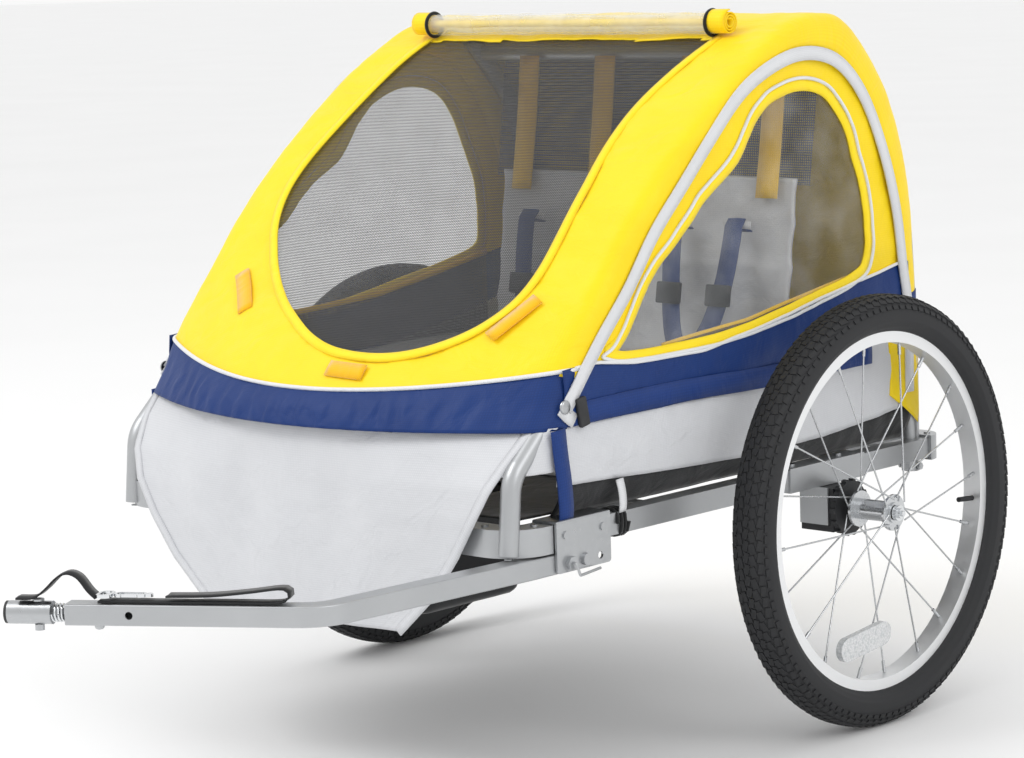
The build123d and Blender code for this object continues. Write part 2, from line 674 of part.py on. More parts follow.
hook_plane = Plane(along_arm(66.0, ARM_TUBE_H / 2 + HOOK_H), x_dir=arm_way, z_dir=(0, 0, 1))
GATE_LEN = 17.0
with BuildPart() as hook:
    with BuildSketch(hook_plane):
        SlotOverall(34.0, 13.0)
        SlotOverall(28.0, 7.6, mode=Mode.SUBTRACT)
        with Locations((0, 5.4)):
            Rectangle(GATE_LEN + 1.2, 4.0, mode=Mode.SUBTRACT)
        with Locations((-19.0, 0)):
            Circle(4.5)
    extrude(amount=1.6, both=True)
save(hook.part, "snap_hook")

with BuildPart() as gate:
    with BuildSketch(hook_plane):
        with Locations((0, 5.2)):
            SlotOverall(GATE_LEN, 2.2)
    extrude(amount=1.4, both=True)
save(gate.part, "snap_hook_gate")

# ---------------------------------------------------------------- fabric cabin (plain closed solids)

# outline of the cabin's side, as (ahead, height), over the arch tube
CABIN_SIDE = [
    (462.0, 330.0),
    (462.0, 434.0),
    (230.0, 706.0),
    (36.0, 821.0),
    (-66.0, 817.0),
    (-163.0, 706.0),
    (-199.0, 562.0),
    (-209.0, 420.0),
    (-209.0, 352.0),
    (-60.0, 340.0),
    (300.0, 327.0),
]
WINDOW = [
    (352.0, 478.0),
    (300.0, 562.0),
    (150.0, 690.0),
    (60.0, 738.0),
    (-24.0, 738.0),
    (-78.0, 655.0),
    (-98.0, 560.0),
    (-96.0, 515.0),
    (60.0, 480.0),
    (220.0, 462.0),
]

for side in (1, -1):
    with BuildPart() as side_panel:
        with BuildSketch(Plane.YZ.offset(side * (HALF_WIDTH - PANEL_T))):
            with BuildLine():
                Polyline(*[side_point(*spot) for spot in CABIN_SIDE], close=True)
            make_face()
            with BuildLine():
                Polyline(*[side_point(*spot) for spot in WINDOW], close=True)
            make_face(mode=Mode.SUBTRACT)
        extrude(amount=side * PANEL_T)
    save(side_panel.part, f"{side_name(side)}_side_panel")

with BuildPart() as side_windows:
    for side in (1, -1):
        with BuildSketch(Plane.YZ.offset(side * (HALF_WIDTH - 2.0))):
            with BuildLine():
                Polyline(*[side_point(*spot) for spot in WINDOW], close=True)
            make_face()
            offset(amount=-SOFT_GAP, mode=Mode.REPLACE)
        extrude(amount=side * 1.2)
save(side_windows.part, "side_windows")

# the cover follows the side outline from the front panel over the top to the rear hem
ROOF_LINE = CABIN_SIDE[2:9]
roof_half = HALF_WIDTH - PANEL_T - SOFT_GAP
with BuildPart() as roof:
    with BuildSketch(Plane.YZ.offset(-roof_half)):
        with BuildLine() as roof_route:
            FilletPolyline(*[side_point(*spot) for spot in ROOF_LINE], radius=60.0)
        trace(roof_route.line, COVER_T)
    extrude(amount=2 * roof_half)
save(roof.part, "canopy_roof")


def bowed_panel(levels, thickness):
    """Loft of flat arcs: each level is (height, half width, ahead of its ends, ahead of its middle)."""
    with BuildPart() as panel:
        for height, half_width, ends, middle in levels:
            with BuildSketch(Plane.XY.offset(height)):
                with BuildLine():
                    ThreePointArc((-half_width, y_of(ends)), (0, y_of(middle)), (half_width, y_of(ends)))
                    Line((half_width, y_of(ends)), (half_width, y_of(ends) + thickness))
                    ThreePointArc(
                        (half_width, y_of(ends) + thickness),
                        (0, y_of(middle) + thickness),
                        (-half_width, y_of(ends) + thickness),
                    )
                    Line((-half_width, y_of(ends) + thickness), (-half_width, y_of(ends)))
                make_face()
        loft(ruled=True)
    return panel.part


FRONT_T = 4.0
FRONT_LEVELS = [
    (BAND_LOW_Z, 305.0, 500.0, 560.0),
    (BAND_TOP_Z + 2, 305.0, 474.0, 558.0),
    (563.0, 305.0, 364.0, 420.0),
    (706.0, 305.0, 238.0, 252.0),
]
FRONT_WINDOW = [
    (-235.0, 466.0),
    (235.0, 466.0),
    (240.0, 640.0),
    (222.0, 700.0),
    (-222.0, 700.0),
    (-240.0, 640.0),
]


def front_window_prism(gap):
    """A prism through the front panel's window, smaller all round by the gap."""
    with BuildPart() as prism:
        with BuildSketch(Plane.XZ.offset(-y_of(620.0))):
            with BuildLine():
                FilletPolyline(*FRONT_WINDOW, close=True, radius=45.0)
            make_face()
            if gap:
                offset(amount=-gap, mode=Mode.REPLACE)
        extrude(amount=-500.0)
    return prism.part


whole_front = bowed_panel(FRONT_LEVELS, FRONT_T)
window_hole = front_window_prism(0)
window_fill = front_window_prism(SOFT_GAP)

with BuildPart() as front_panel:
    add(whole_front)
    add(window_hole, mode=Mode.SUBTRACT)
save(front_panel.part, "front_panel")

with BuildPart() as front_mesh:
    add(whole_front)
    add(window_fill, mode=Mode.INTERSECT)
save(front_mesh.part, "front_mesh")

SKIRT_LEVELS = [
    (185.0, 150.0, 552.0, 561.0),
    (312.0, 262.0, 549.0, 562.0),
    (350.0, 280.0, 546.0, 562.0),
    (BAND_LOW_Z - SOFT_GAP, 300.0, 502.0, 561.0),
]
save(bowed_panel(SKIRT_LEVELS, PANEL_T), "front_skirt")

FOOTWELL_HALF = 146.0
FOOTWELL_FRONT = 508.0
FOOTWELL_BACK = 330.0
FOOTWELL_LOW_Z = 183.0
FLOOR_Z = 303.6
FLOOR_T = 3.0
FLOOR_HALF = 281.0
with BuildPart() as footwell:
    well_len = FOOTWELL_FRONT - FOOTWELL_BACK
    well_y = y_of((FOOTWELL_FRONT + FOOTWELL_BACK) / 2)
    well_h = FLOOR_Z - FOOTWELL_LOW_Z
    with Locations((0, well_y, FOOTWELL_LOW_Z + well_h / 2)):
        Box(2 * FOOTWELL_HALF, well_len, well_h)
    with Locations((0, well_y, FOOTWELL_LOW_Z + well_h / 2 + 2.5)):
        Box(2 * FOOTWELL_HALF - 5, well_len - 5, well_h - 5 + 5, mode=Mode.SUBTRACT)
save(footwell.part, "footwell")

with BuildPart() as floor:
    floor_front = 500.0
    floor_back = -180.0
    with Locations((0, y_of((floor_front + floor_back) / 2), FLOOR_Z + SOFT_GAP + FLOOR_T / 2)):
        Box(2 * FLOOR_HALF, floor_front - floor_back, FLOOR_T)
    with Locations((0, well_y, FLOOR_Z)):
        Box(2 * FOOTWELL_HALF - 8, well_len - 8, 20.0, mode=Mode.SUBTRACT)
save(floor.part, "floor_sling")

# ---------------------------------------------------------------- seat

SEAT_TOP_Z = 352.0
SEAT_T = 12.0
SEAT_FRONT = 280.0
SEAT_REAR = -12.0
with BuildPart() as seat_base:
    with Locations((0, y_of((SEAT_FRONT + SEAT_REAR) / 2), SEAT_TOP_Z - SEAT_T / 2)):
        Box(2 * SEAT_HALF, SEAT_FRONT - SEAT_REAR, SEAT_T)
    with Locations((0, y_of(SEAT_FRONT - SEAT_T / 2), (SEAT_TOP_Z + FLOOR_Z + 4) / 2)):
        Box(2 * SEAT_HALF, SEAT_T, SEAT_TOP_Z - FLOOR_Z - 4)
    fillet(seat_base.edges().filter_by(Axis.X).group_by(Axis.Z)[-1].sort_by(Axis.Y)[0], 8.0)
save(seat_base.part, "seat_base")

BACK_T = 8.0
with BuildPart() as seat_back:
    with BuildSketch(Plane.YZ.offset(-SEAT_HALF)):
        with BuildLine() as lean_line:
            Line(side_point(-20.0, SEAT_TOP_Z), side_point(-58.0, 622.0))
        trace(lean_line.line, BACK_T)
    extrude(amount=2 * SEAT_HALF)
save(seat_back.part, "seat_back")

# webbing: four shoulder straps on the seat back, three straps from its top up to the cross bar
WEB_W = 25.0
WEB_T = 1.6
with BuildPart() as webbing:
    for strap_x in (-165.0, -75.0, 75.0, 165.0):
        with BuildSketch(Plane.YZ.offset(strap_x - WEB_W / 2)):
            with BuildLine() as web_line:
                Line(side_point(-12.0, SEAT_TOP_Z + 50), side_point(-46.0, 590.0))
            trace(web_line.line, WEB_T)
        extrude(amount=WEB_W)
    for strap_x in (-196.0, -70.0, 70.0, 196.0):
        with BuildSketch(Plane.YZ.offset(strap_x - WEB_W / 2)):
            with BuildLine() as hang_line:
                Line(side_point(-60.0, 624.0), side_point(-82.0, CROSS_BAR_Z - CROSS_BAR_R - 2))
            trace(hang_line.line, WEB_T)
        extrude(amount=WEB_W)
save(webbing.part, "harness_webbing")

with BuildPart() as buckles:
    for buckle_x in (-120.0, 120.0):
        with Locations(Location((buckle_x, y_of(14.0), SEAT_TOP_Z + 42.0), (-8, 0, 0))):
            Box(46.0, 14.0, 54.0)
    fillet(buckles.edges().filter_by(Axis.Y, reverse=True), 3.0)
save(buckles.part, "harness_buckles")

# ---------------------------------------------------------------- rolled rain cover and bungee

ROLL_R = 13.0
ROLL_HALF = 245.0
ROLL_AHEAD = 82.0
ROLL_Z = 816.0
with BuildPart() as roll:
    with BuildSketch(Plane.YZ.offset(-ROLL_HALF)):
        with Locations(side_point(ROLL_AHEAD, ROLL_Z)):
            Circle(ROLL_R)
    extrude(amount=2 * ROLL_HALF)
save(roll.part, "rain_cover_roll")

BUNGEE_R = 2.2
with BuildPart() as bungee:
    ring = RAIL_TUBE / 2 + BUNGEE_R + SOFT_GAP
    for ring_ahead in (378.0, 369.0, 360.0):
        with BuildSketch(Plane.XZ.offset(-y_of(ring_ahead))):
            with Locations((RAIL_X, FRAME_Z)):
                RectangleRounded(2 * (ring + BUNGEE_R), 2 * (ring + BUNGEE_R), 9.0)
                RectangleRounded(2 * (ring - BUNGEE_R), 2 * (ring - BUNGEE_R), 1.0, mode=Mode.SUBTRACT)
        extrude(amount=BUNGEE_R, both=True)
save(bungee.part, "rail_bungee")
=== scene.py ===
import math

import bmesh
import bpy
from mathutils import Matrix, Vector, noise


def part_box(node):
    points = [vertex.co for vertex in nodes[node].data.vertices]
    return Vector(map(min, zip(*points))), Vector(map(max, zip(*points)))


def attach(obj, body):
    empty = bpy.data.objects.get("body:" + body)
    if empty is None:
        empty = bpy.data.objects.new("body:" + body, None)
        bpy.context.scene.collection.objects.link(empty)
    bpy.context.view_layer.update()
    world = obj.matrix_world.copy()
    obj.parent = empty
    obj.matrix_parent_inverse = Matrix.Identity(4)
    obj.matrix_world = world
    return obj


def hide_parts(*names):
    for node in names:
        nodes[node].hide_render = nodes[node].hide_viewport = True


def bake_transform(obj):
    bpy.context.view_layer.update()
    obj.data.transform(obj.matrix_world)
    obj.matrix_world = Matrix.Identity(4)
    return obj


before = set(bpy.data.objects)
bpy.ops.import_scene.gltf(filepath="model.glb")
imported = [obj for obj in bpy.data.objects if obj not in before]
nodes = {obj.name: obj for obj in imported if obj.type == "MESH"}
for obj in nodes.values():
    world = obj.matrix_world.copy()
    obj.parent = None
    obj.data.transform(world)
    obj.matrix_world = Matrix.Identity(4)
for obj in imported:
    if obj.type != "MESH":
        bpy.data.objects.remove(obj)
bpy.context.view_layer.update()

# ------------------------------------------------------------------ camera
# A long lens at standing distance, in front of the trailer on its left side and a little
# above the wheels. The view is turned, tipped down and very slightly rolled.
CAMERA_SPOT = (2.4685, -2.52497, 0.9102)
YAW, PITCH, ROLL = (math.radians(angle) for angle in (42.509, 7.949, -1.831))
sight = Vector((-math.sin(YAW) * math.cos(PITCH), math.cos(YAW) * math.cos(PITCH), -math.sin(PITCH)))
level_right = Vector((math.cos(YAW), math.sin(YAW), 0))
level_up = level_right.cross(sight)
camera_right = level_right * math.cos(ROLL) + level_up * math.sin(ROLL)
camera_up = level_up * math.cos(ROLL) - level_right * math.sin(ROLL)
camera = bpy.data.objects.new("camera", bpy.data.cameras.new("camera"))
bpy.context.scene.collection.objects.link(camera)
camera.data.lens = 109.71
camera.data.sensor_width = 36.0
turned = Matrix((camera_right, camera_up, -sight)).transposed().to_4x4()
camera.matrix_world = Matrix.Translation(CAMERA_SPOT) @ turned
bpy.context.scene.camera = camera
bpy.context.scene.view_settings.view_transform = "Standard"

# ------------------------------------------------------------------ studio
# A wide white floor, an even white surround, a large soft light high on the left and a
# weaker one on the right, so that the trailer's shadow is short and soft.


def linear(hex_colour):
    """An sRGB hex colour as the linear RGBA that a shader takes."""
    parts = [int(hex_colour[i:i + 2], 16) / 255 for i in (0, 2, 4)]
    return tuple(c / 12.92 if c <= 0.04045 else ((c + 0.055) / 1.055) ** 2.4 for c in parts) + (1.0,)


def add(finish, kind, sockets=None, **settings):
    """Adds a node to a material with its settings; a socket takes a value or another node's output."""
    node = finish.node_tree.nodes.new(kind)
    for name, value in settings.items():
        setattr(node, name, value)
    for name, value in (sockets or {}).items():
        if isinstance(value, bpy.types.NodeSocket):
            finish.node_tree.links.new(value, node.inputs[name])
        else:
            node.inputs[name].default_value = value
    return node


def new_finish(name, hex_colour, **constants):
    """A material with its colour and its constant shader values set."""
    finish = bpy.data.materials.new(name)
    finish.use_nodes = True
    shader = finish.node_tree.nodes["Principled BSDF"]
    shader.inputs["Base Color"].default_value = linear(hex_colour)
    finish.diffuse_color = linear(hex_colour)
    for socket, value in constants.items():
        shader.inputs[socket.replace("_", " ")].default_value = value
    return finish


def into_shader(finish, socket, output):
    shader = finish.node_tree.nodes["Principled BSDF"]
    finish.node_tree.links.new(output, shader.inputs[socket])


floor_finish = new_finish("painted_studio_floor", "F6F6F6", Roughness=0.6)
floor_spot = add(floor_finish, "ShaderNodeTexCoord")
floor_mottle = add(
    floor_finish, "ShaderNodeTexNoise", {"Vector": floor_spot.outputs["Object"], "Scale": 1.5}
)
floor_tone = add(
    floor_finish, "ShaderNodeMix",
    {0: floor_mottle.outputs["Fac"], 6: linear("F4F4F4"), 7: linear("F9F9F9")}, data_type="RGBA",
)
into_shader(floor_finish, "Base Color", floor_tone.outputs[2])
floor_shape = bmesh.new()
bmesh.ops.create_circle(floor_shape, cap_ends=True, segments=96, radius=60.0)
floor_mesh = bpy.data.meshes.new("studio_floor")
floor_shape.to_mesh(floor_mesh)
floor_shape.free()
floor_mesh.materials.append(floor_finish)
studio_floor = bpy.data.objects.new("studio_floor", floor_mesh)
bpy.context.scene.collection.objects.link(studio_floor)

surround = bpy.data.worlds.new("surround")
surround.use_nodes = True
surround.node_tree.nodes["Background"].inputs["Color"].default_value = (1.0, 1.0, 1.0, 1.0)
surround.node_tree.nodes["Background"].inputs["Strength"].default_value = 0.95
bpy.context.scene.world = surround
for light_name, light_spot, light_size, light_watts in (
    ("key_softbox", (-1.6, -2.6, 3.8), 2.0, 70.0),
    ("side_softbox", (3.6, -0.4, 2.6), 2.0, 30.0),
):
    softbox = bpy.data.lights.new(light_name, "AREA")
    softbox.size = light_size
    softbox.energy = light_watts
    light = bpy.data.objects.new(light_name, softbox)
    bpy.context.scene.collection.objects.link(light)
    aim = Vector((0.0, 0.2, 0.4)) - Vector(light_spot)
    light.matrix_world = Matrix.Translation(light_spot) @ aim.to_track_quat("-Z", "Y").to_matrix().to_4x4()

# ------------------------------------------------------------------ base frame, arches and cross bars
# Square and round mild steel tube, bent, drilled and bolted, then sprayed with satin silver
# powder coat. The tubes keep the frame's own solids and get their finish here.


def powder_coat(name, hex_colour, fleck):
    """Baked silver powder: a satin skin with a slight orange peel and a pale metal fleck."""
    finish = new_finish(name, hex_colour, Metallic=0.75, Roughness=0.4, Coat_Weight=0.2, Coat_Roughness=0.3)
    spot = add(finish, "ShaderNodeTexCoord")
    # peel cells are about 1 mm, drawn at 2.5 mm so that they show
    peel = add(
        finish, "ShaderNodeTexNoise", {"Vector": spot.outputs["Object"], "Scale": 400.0, "Detail": 2.0}
    )
    cloudy = add(
        finish, "ShaderNodeTexNoise", {"Vector": spot.outputs["Object"], "Scale": 14.0, "Detail": 4.0}
    )
    tone = add(
        finish, "ShaderNodeMix",
        {0: cloudy.outputs["Fac"], 6: linear(hex_colour), 7: linear(fleck)}, data_type="RGBA",
    )
    into_shader(finish, "Base Color", tone.outputs[2])
    rough = add(
        finish, "ShaderNodeMapRange",
        {"Value": cloudy.outputs["Fac"], "To Min": 0.33, "To Max": 0.46},
    )
    into_shader(finish, "Roughness", rough.outputs["Result"])
    bump = add(
        finish, "ShaderNodeBump", {"Height": peel.outputs["Fac"], "Strength": 0.12, "Distance": 0.0004}
    )
    into_shader(finish, "Normal", bump.outputs["Normal"])
    return finish


def dress(names, finish):
    """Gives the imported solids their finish."""
    for name in names:
        for held in nodes[name].material_slots:
            held.material = finish


silver_coat = powder_coat("silver_powder_coat", "A6A8AA", "B8BABC")
dress(
    ["front_frame_tube", "rear_frame_tube", "left_side_rail", "right_side_rail", "floor_cross_bars",
     "left_arch_tube", "right_arch_tube", "top_cross_bar", "axle_brackets", "tow_arm_tube"],
    silver_coat,
)

# ------------------------------------------------------------------ bright steel fittings
# Zinc-plated bolts, pins, the bracket's pressed steel, the hitch tube and its spring. Bright
# plating has a cool shine with fine rubbed streaks.


def plated(name, hex_colour, rough_low, rough_high, streak_scale):
    """Plated or polished metal whose gloss varies with fine handling marks."""
    finish = new_finish(name, hex_colour, Metallic=1.0, Roughness=rough_low)
    spot = add(finish, "ShaderNodeTexCoord")
    marks = add(
        finish, "ShaderNodeTexNoise",
        {"Vector": spot.outputs["Object"], "Scale": streak_scale, "Detail": 5.0, "Roughness": 0.6},
    )
    rough = add(
        finish,
        "ShaderNodeMapRange",
        {
            "Value": marks.outputs["Fac"], "From Min": 0.3, "From Max": 0.7, "To Min": rough_low,
            "To Max": rough_high,
        },
    )
    into_shader(finish, "Roughness", rough.outputs["Result"])
    bump = add(
        finish, "ShaderNodeBump", {"Height": marks.outputs["Fac"], "Strength": 0.06, "Distance": 0.0003}
    )
    into_shader(finish, "Normal", bump.outputs["Normal"])
    return finish


zinc = plated("bright_zinc_plate", "B4B6B8", 0.26, 0.42, 180.0)
chrome = plated("polished_chrome_plate", "D9DBDD", 0.06, 0.16, 90.0)
dress(["arch_foot_bolts", "frame_screws", "arm_pivot_bolt", "arm_lock_pin", "arm_bolts", "hitch_pin",
       "hitch_tube", "hitch_core", "tow_bracket"], zinc)
dress(["hitch_spring", "strap_d_ring", "snap_hook", "snap_hook_gate", "wheel_axles",
       "left_axle_button", "right_axle_button"], chrome)

# ------------------------------------------------------------------ black mouldings
# Glass-filled nylon axle blocks and toothed hub guards, the arm's end plug and the hitch bush:
# matt black with a fine spark-eroded grain and paler rubbed edges.
moulded_nylon = new_finish("moulded_black_nylon", "1B1C1E", Roughness=0.55, IOR=1.53)
nylon_spot = add(moulded_nylon, "ShaderNodeTexCoord")
nylon_grain = add(
    moulded_nylon, "ShaderNodeTexNoise",
    {"Vector": nylon_spot.outputs["Object"], "Scale": 900.0, "Detail": 2.0},
)
nylon_scuff = add(
    moulded_nylon, "ShaderNodeTexNoise",
    {"Vector": nylon_spot.outputs["Object"], "Scale": 60.0, "Detail": 6.0},
)
nylon_tone = add(
    moulded_nylon, "ShaderNodeMix",
    {0: nylon_scuff.outputs["Fac"], 6: linear("121315"), 7: linear("2A2B2E")}, data_type="RGBA",
)
into_shader(moulded_nylon, "Base Color", nylon_tone.outputs[2])
nylon_bump = add(
    moulded_nylon, "ShaderNodeBump",
    {"Height": nylon_grain.outputs["Fac"], "Strength": 0.3, "Distance": 0.0003},
)
into_shader(moulded_nylon, "Normal", nylon_bump.outputs["Normal"])
dress(["axle_blocks", "hub_guards", "arm_end_plug", "hitch_end_bush", "harness_buckles"], moulded_nylon)

# ------------------------------------------------------------------ wheels
# Rolled aluminium rims with brushed walls, forged alloy hubs, twenty stainless spokes with brass
# nipples, a clear prismatic reflector, and a black tyre whose tread is three rows of blocks.
axle_low, axle_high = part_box("left_rim")
AXLE_Y = (axle_low[1] + axle_high[1]) / 2
AXLE_Z = (axle_low[2] + axle_high[2]) / 2
WHEEL_X = (axle_low[0] + axle_high[0]) / 2

rim_alloy = plated("satin_rim_aluminium", "EDEEEF", 0.42, 0.55, 60.0)
hub_alloy = plated("polished_hub_aluminium", "C9CBCD", 0.18, 0.3, 120.0)
stainless = plated("stainless_spoke_wire", "C2C4C6", 0.2, 0.34, 150.0)
dress(["left_rim", "right_rim"], rim_alloy)
dress(["left_hub", "right_hub"], hub_alloy)
dress(["left_spokes", "right_spokes"], stainless)

rubber = new_finish("vulcanised_black_rubber", "17181A", Roughness=0.72, IOR=1.52)
rubber_spot = add(rubber, "ShaderNodeTexCoord")
rubber_bloom = add(
    rubber, "ShaderNodeTexNoise", {"Vector": rubber_spot.outputs["Object"], "Scale": 25.0, "Detail": 5.0}
)
rubber_grain = add(rubber, "ShaderNodeTexNoise", {"Vector": rubber_spot.outputs["Object"], "Scale": 600.0})
rubber_tone = add(
    rubber, "ShaderNodeMix",
    {0: rubber_bloom.outputs["Fac"], 6: linear("101113"), 7: linear("26272A")}, data_type="RGBA",
)
into_shader(rubber, "Base Color", rubber_tone.outputs[2])
rubber_rough = add(
    rubber, "ShaderNodeMapRange", {"Value": rubber_bloom.outputs["Fac"], "To Min": 0.6, "To Max": 0.85},
)
into_shader(rubber, "Roughness", rubber_rough.outputs["Result"])
rubber_bump = add(
    rubber,
    "ShaderNodeBump",
    {"Height": rubber_grain.outputs["Fac"], "Strength": 0.25, "Distance": 0.0003},
)
into_shader(rubber, "Normal", rubber_bump.outputs["Normal"])
dress(["left_inner_tube", "right_inner_tube"], rubber)

prism = new_finish("clear_prismatic_acrylic", "EDEFF0", Roughness=0.12, IOR=1.49, Transmission_Weight=0.35)
prism_spot = add(prism, "ShaderNodeTexCoord")
# corner cubes are 2.5 mm across
prism_cells = add(prism, "ShaderNodeTexVoronoi", {"Vector": prism_spot.outputs["Object"], "Scale": 400.0})
prism_tone = add(
    prism, "ShaderNodeMix",
    {0: prism_cells.outputs["Distance"], 6: linear("FFFFFF"), 7: linear("C9CDD0")}, data_type="RGBA",
)
into_shader(prism, "Base Color", prism_tone.outputs[2])
prism_bump = add(
    prism,
    "ShaderNodeBump",
    {"Height": prism_cells.outputs["Distance"], "Strength": 0.7, "Distance": 0.0008},
)
into_shader(prism, "Normal", prism_bump.outputs["Normal"])
dress(["left_reflector", "right_reflector"], prism)


def finished(name, shape, finish, body, smooth=True):
    """Turns a bmesh into a piece at the origin, with its finish, riding on a body if one is given."""
    mesh = bpy.data.meshes.new(name)
    shape.to_mesh(mesh)
    shape.free()
    mesh.materials.append(finish)
    for face in mesh.polygons:
        face.use_smooth = smooth
    piece = bpy.data.objects.new(name, mesh)
    bpy.context.scene.collection.objects.link(piece)
    if body:
        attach(piece, body)
    return piece


# half of the tyre's section, as (distance from the wheel's plane, radius) in mm
TYRE_HALF = [
    (0.0, 249.0), (8.0, 248.3), (14.5, 245.4), (19.3, 240.0), (22.4, 232.5), (23.3, 225.5), (22.9, 221.0),
    (22.9, 219.6), (21.9, 218.6), (20.2, 214.5), (17.2, 211.6), (14.2, 210.2), (13.0, 208.4),
    (11.6, 207.6),
]
BLOCK_STEPS = 118
for side, side_word in ((1, "left"), (-1, "right")):
    hub_middle = Vector((side * WHEEL_X, AXLE_Y, AXLE_Z))
    carcass = bmesh.new()
    section = [(-w, r) for w, r in reversed(TYRE_HALF[1:])] + TYRE_HALF
    row = [carcass.verts.new(hub_middle + Vector((w, 0, r)) * 0.001) for w, r in section]
    rim_line = [carcass.edges.new(pair) for pair in zip(row, row[1:])]
    bmesh.ops.spin(
        carcass, geom=row + rim_line, cent=hub_middle, axis=(1, 0, 0), angle=2 * math.pi,
        steps=144, use_merge=True,
    )
    bmesh.ops.remove_doubles(carcass, verts=carcass.verts, dist=1e-6)
    bmesh.ops.recalc_face_normals(carcass, faces=carcass.faces)
    tyre = finished(f"{side_word}_tyre_carcass", carcass, rubber, f"{side_word}_wheel")
    wall = tyre.modifiers.new("casing", "SOLIDIFY")
    wall.thickness = 0.0022
    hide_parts(f"{side_word}_tyre")

    tread = bmesh.new()
    # block rows: sideways place, width, length, radius of the top, tilt, chevron turn, shift round the wheel
    for across, wide, long, top_r, tilt, chevron, shift in (
        (-3.9, 6.4, 11.6, 249.9, -3, 14, 0.0), (3.9, 6.4, 11.6, 249.9, 3, -14, 0.5),
        (-11.2, 6.6, 11.6, 248.1, -17, -16, 0.25), (11.2, 6.6, 11.6, 248.1, 17, 16, 0.75),
        (-17.6, 5.4, 11.4, 243.5, -43, 12, 0.0), (17.6, 5.4, 11.4, 243.5, 43, -12, 0.5),
        (-21.6, 4.6, 8.6, 236.6, -62, 0, 0.5), (21.6, 4.6, 8.6, 236.6, 62, 0, 0.0),
    ):
        for step in range(BLOCK_STEPS):
            turn = Matrix.Rotation(2 * math.pi * (step + shift) / BLOCK_STEPS, 4, "X")
            seat = Matrix.Translation(
                (across * 0.001, 0, (top_r - 1.2) * 0.001)
            ) @ Matrix.Rotation(math.radians(tilt), 4, "Y")
            seat = seat @ Matrix.Rotation(math.radians(chevron), 4, "Z")
            shape = Matrix.Diagonal((wide * 0.001, long * 0.001, 0.0024, 1))
            bmesh.ops.create_cube(
                tread, size=1.0, matrix=Matrix.Translation(hub_middle) @ turn @ seat @ shape
            )
    tread_piece = finished(f"{side_word}_tyre_tread", tread, rubber, f"{side_word}_wheel", smooth=False)

# ------------------------------------------------------------------ cover
# One piece of yellow coated polyester, sewn to shape and pulled over both arch tubes from the front
# hem to the rear hem, with a rounded opening in front whose raw edge is bound with yellow tape.


def spot(across, ahead, high):
    """A place in metres from millimetres across, ahead of the axle and above the ground."""
    return Vector((across * 0.001, AXLE_Y - ahead * 0.001, high * 0.001))


def smooth_line(points, steps):
    """Points evenly along a smooth curve through the given ones (Catmull-Rom)."""
    points = [Vector(p) for p in points]
    ends = [2 * points[0] - points[1], *points, 2 * points[-1] - points[-2]]
    fine = []
    for a, b, c, d in zip(ends, ends[1:], ends[2:], ends[3:]):
        for k in range(12):
            t = k / 12
            fine.append(
                0.5 * (
                    2 * b + (c - a) * t + (2 * a - 5 * b + 4 * c - d) * t * t
                    + (3 * b - a - 3 * c + d) * t ** 3
                )
            )
    fine.append(points[-1])
    return evenly(fine, steps)


def evenly(line, steps):
    """The same polyline as steps + 1 points a constant distance apart."""
    reach = [0.0]
    for a, b in zip(line, line[1:]):
        reach.append(reach[-1] + (b - a).length)
    out, k = [], 0
    for n in range(steps + 1):
        want = reach[-1] * n / steps
        while k < len(line) - 2 and reach[k + 1] < want:
            k += 1
        span = max(reach[k + 1] - reach[k], 1e-9)
        out.append(line[k].lerp(line[k + 1], min(max((want - reach[k]) / span, 0.0), 1.0)))
    return out


def level_at(table, at):
    """Straight-line reading of a table of (place, value) pairs."""
    if at <= table[0][0]:
        return table[0][1]
    for (a, va), (b, vb) in zip(table, table[1:]):
        if at <= b:
            return va + (vb - va) * (at - a) / (b - a)
    return table[-1][1]


def ripple(where, length, seed=0.0):
    """Soft cloth unevenness from -1 to 1 whose waves are about the given length in metres."""
    return noise.fractal(where / length + Vector((seed, seed * 0.7, 3.1)), 0.6, 2.0, 3) * 0.8


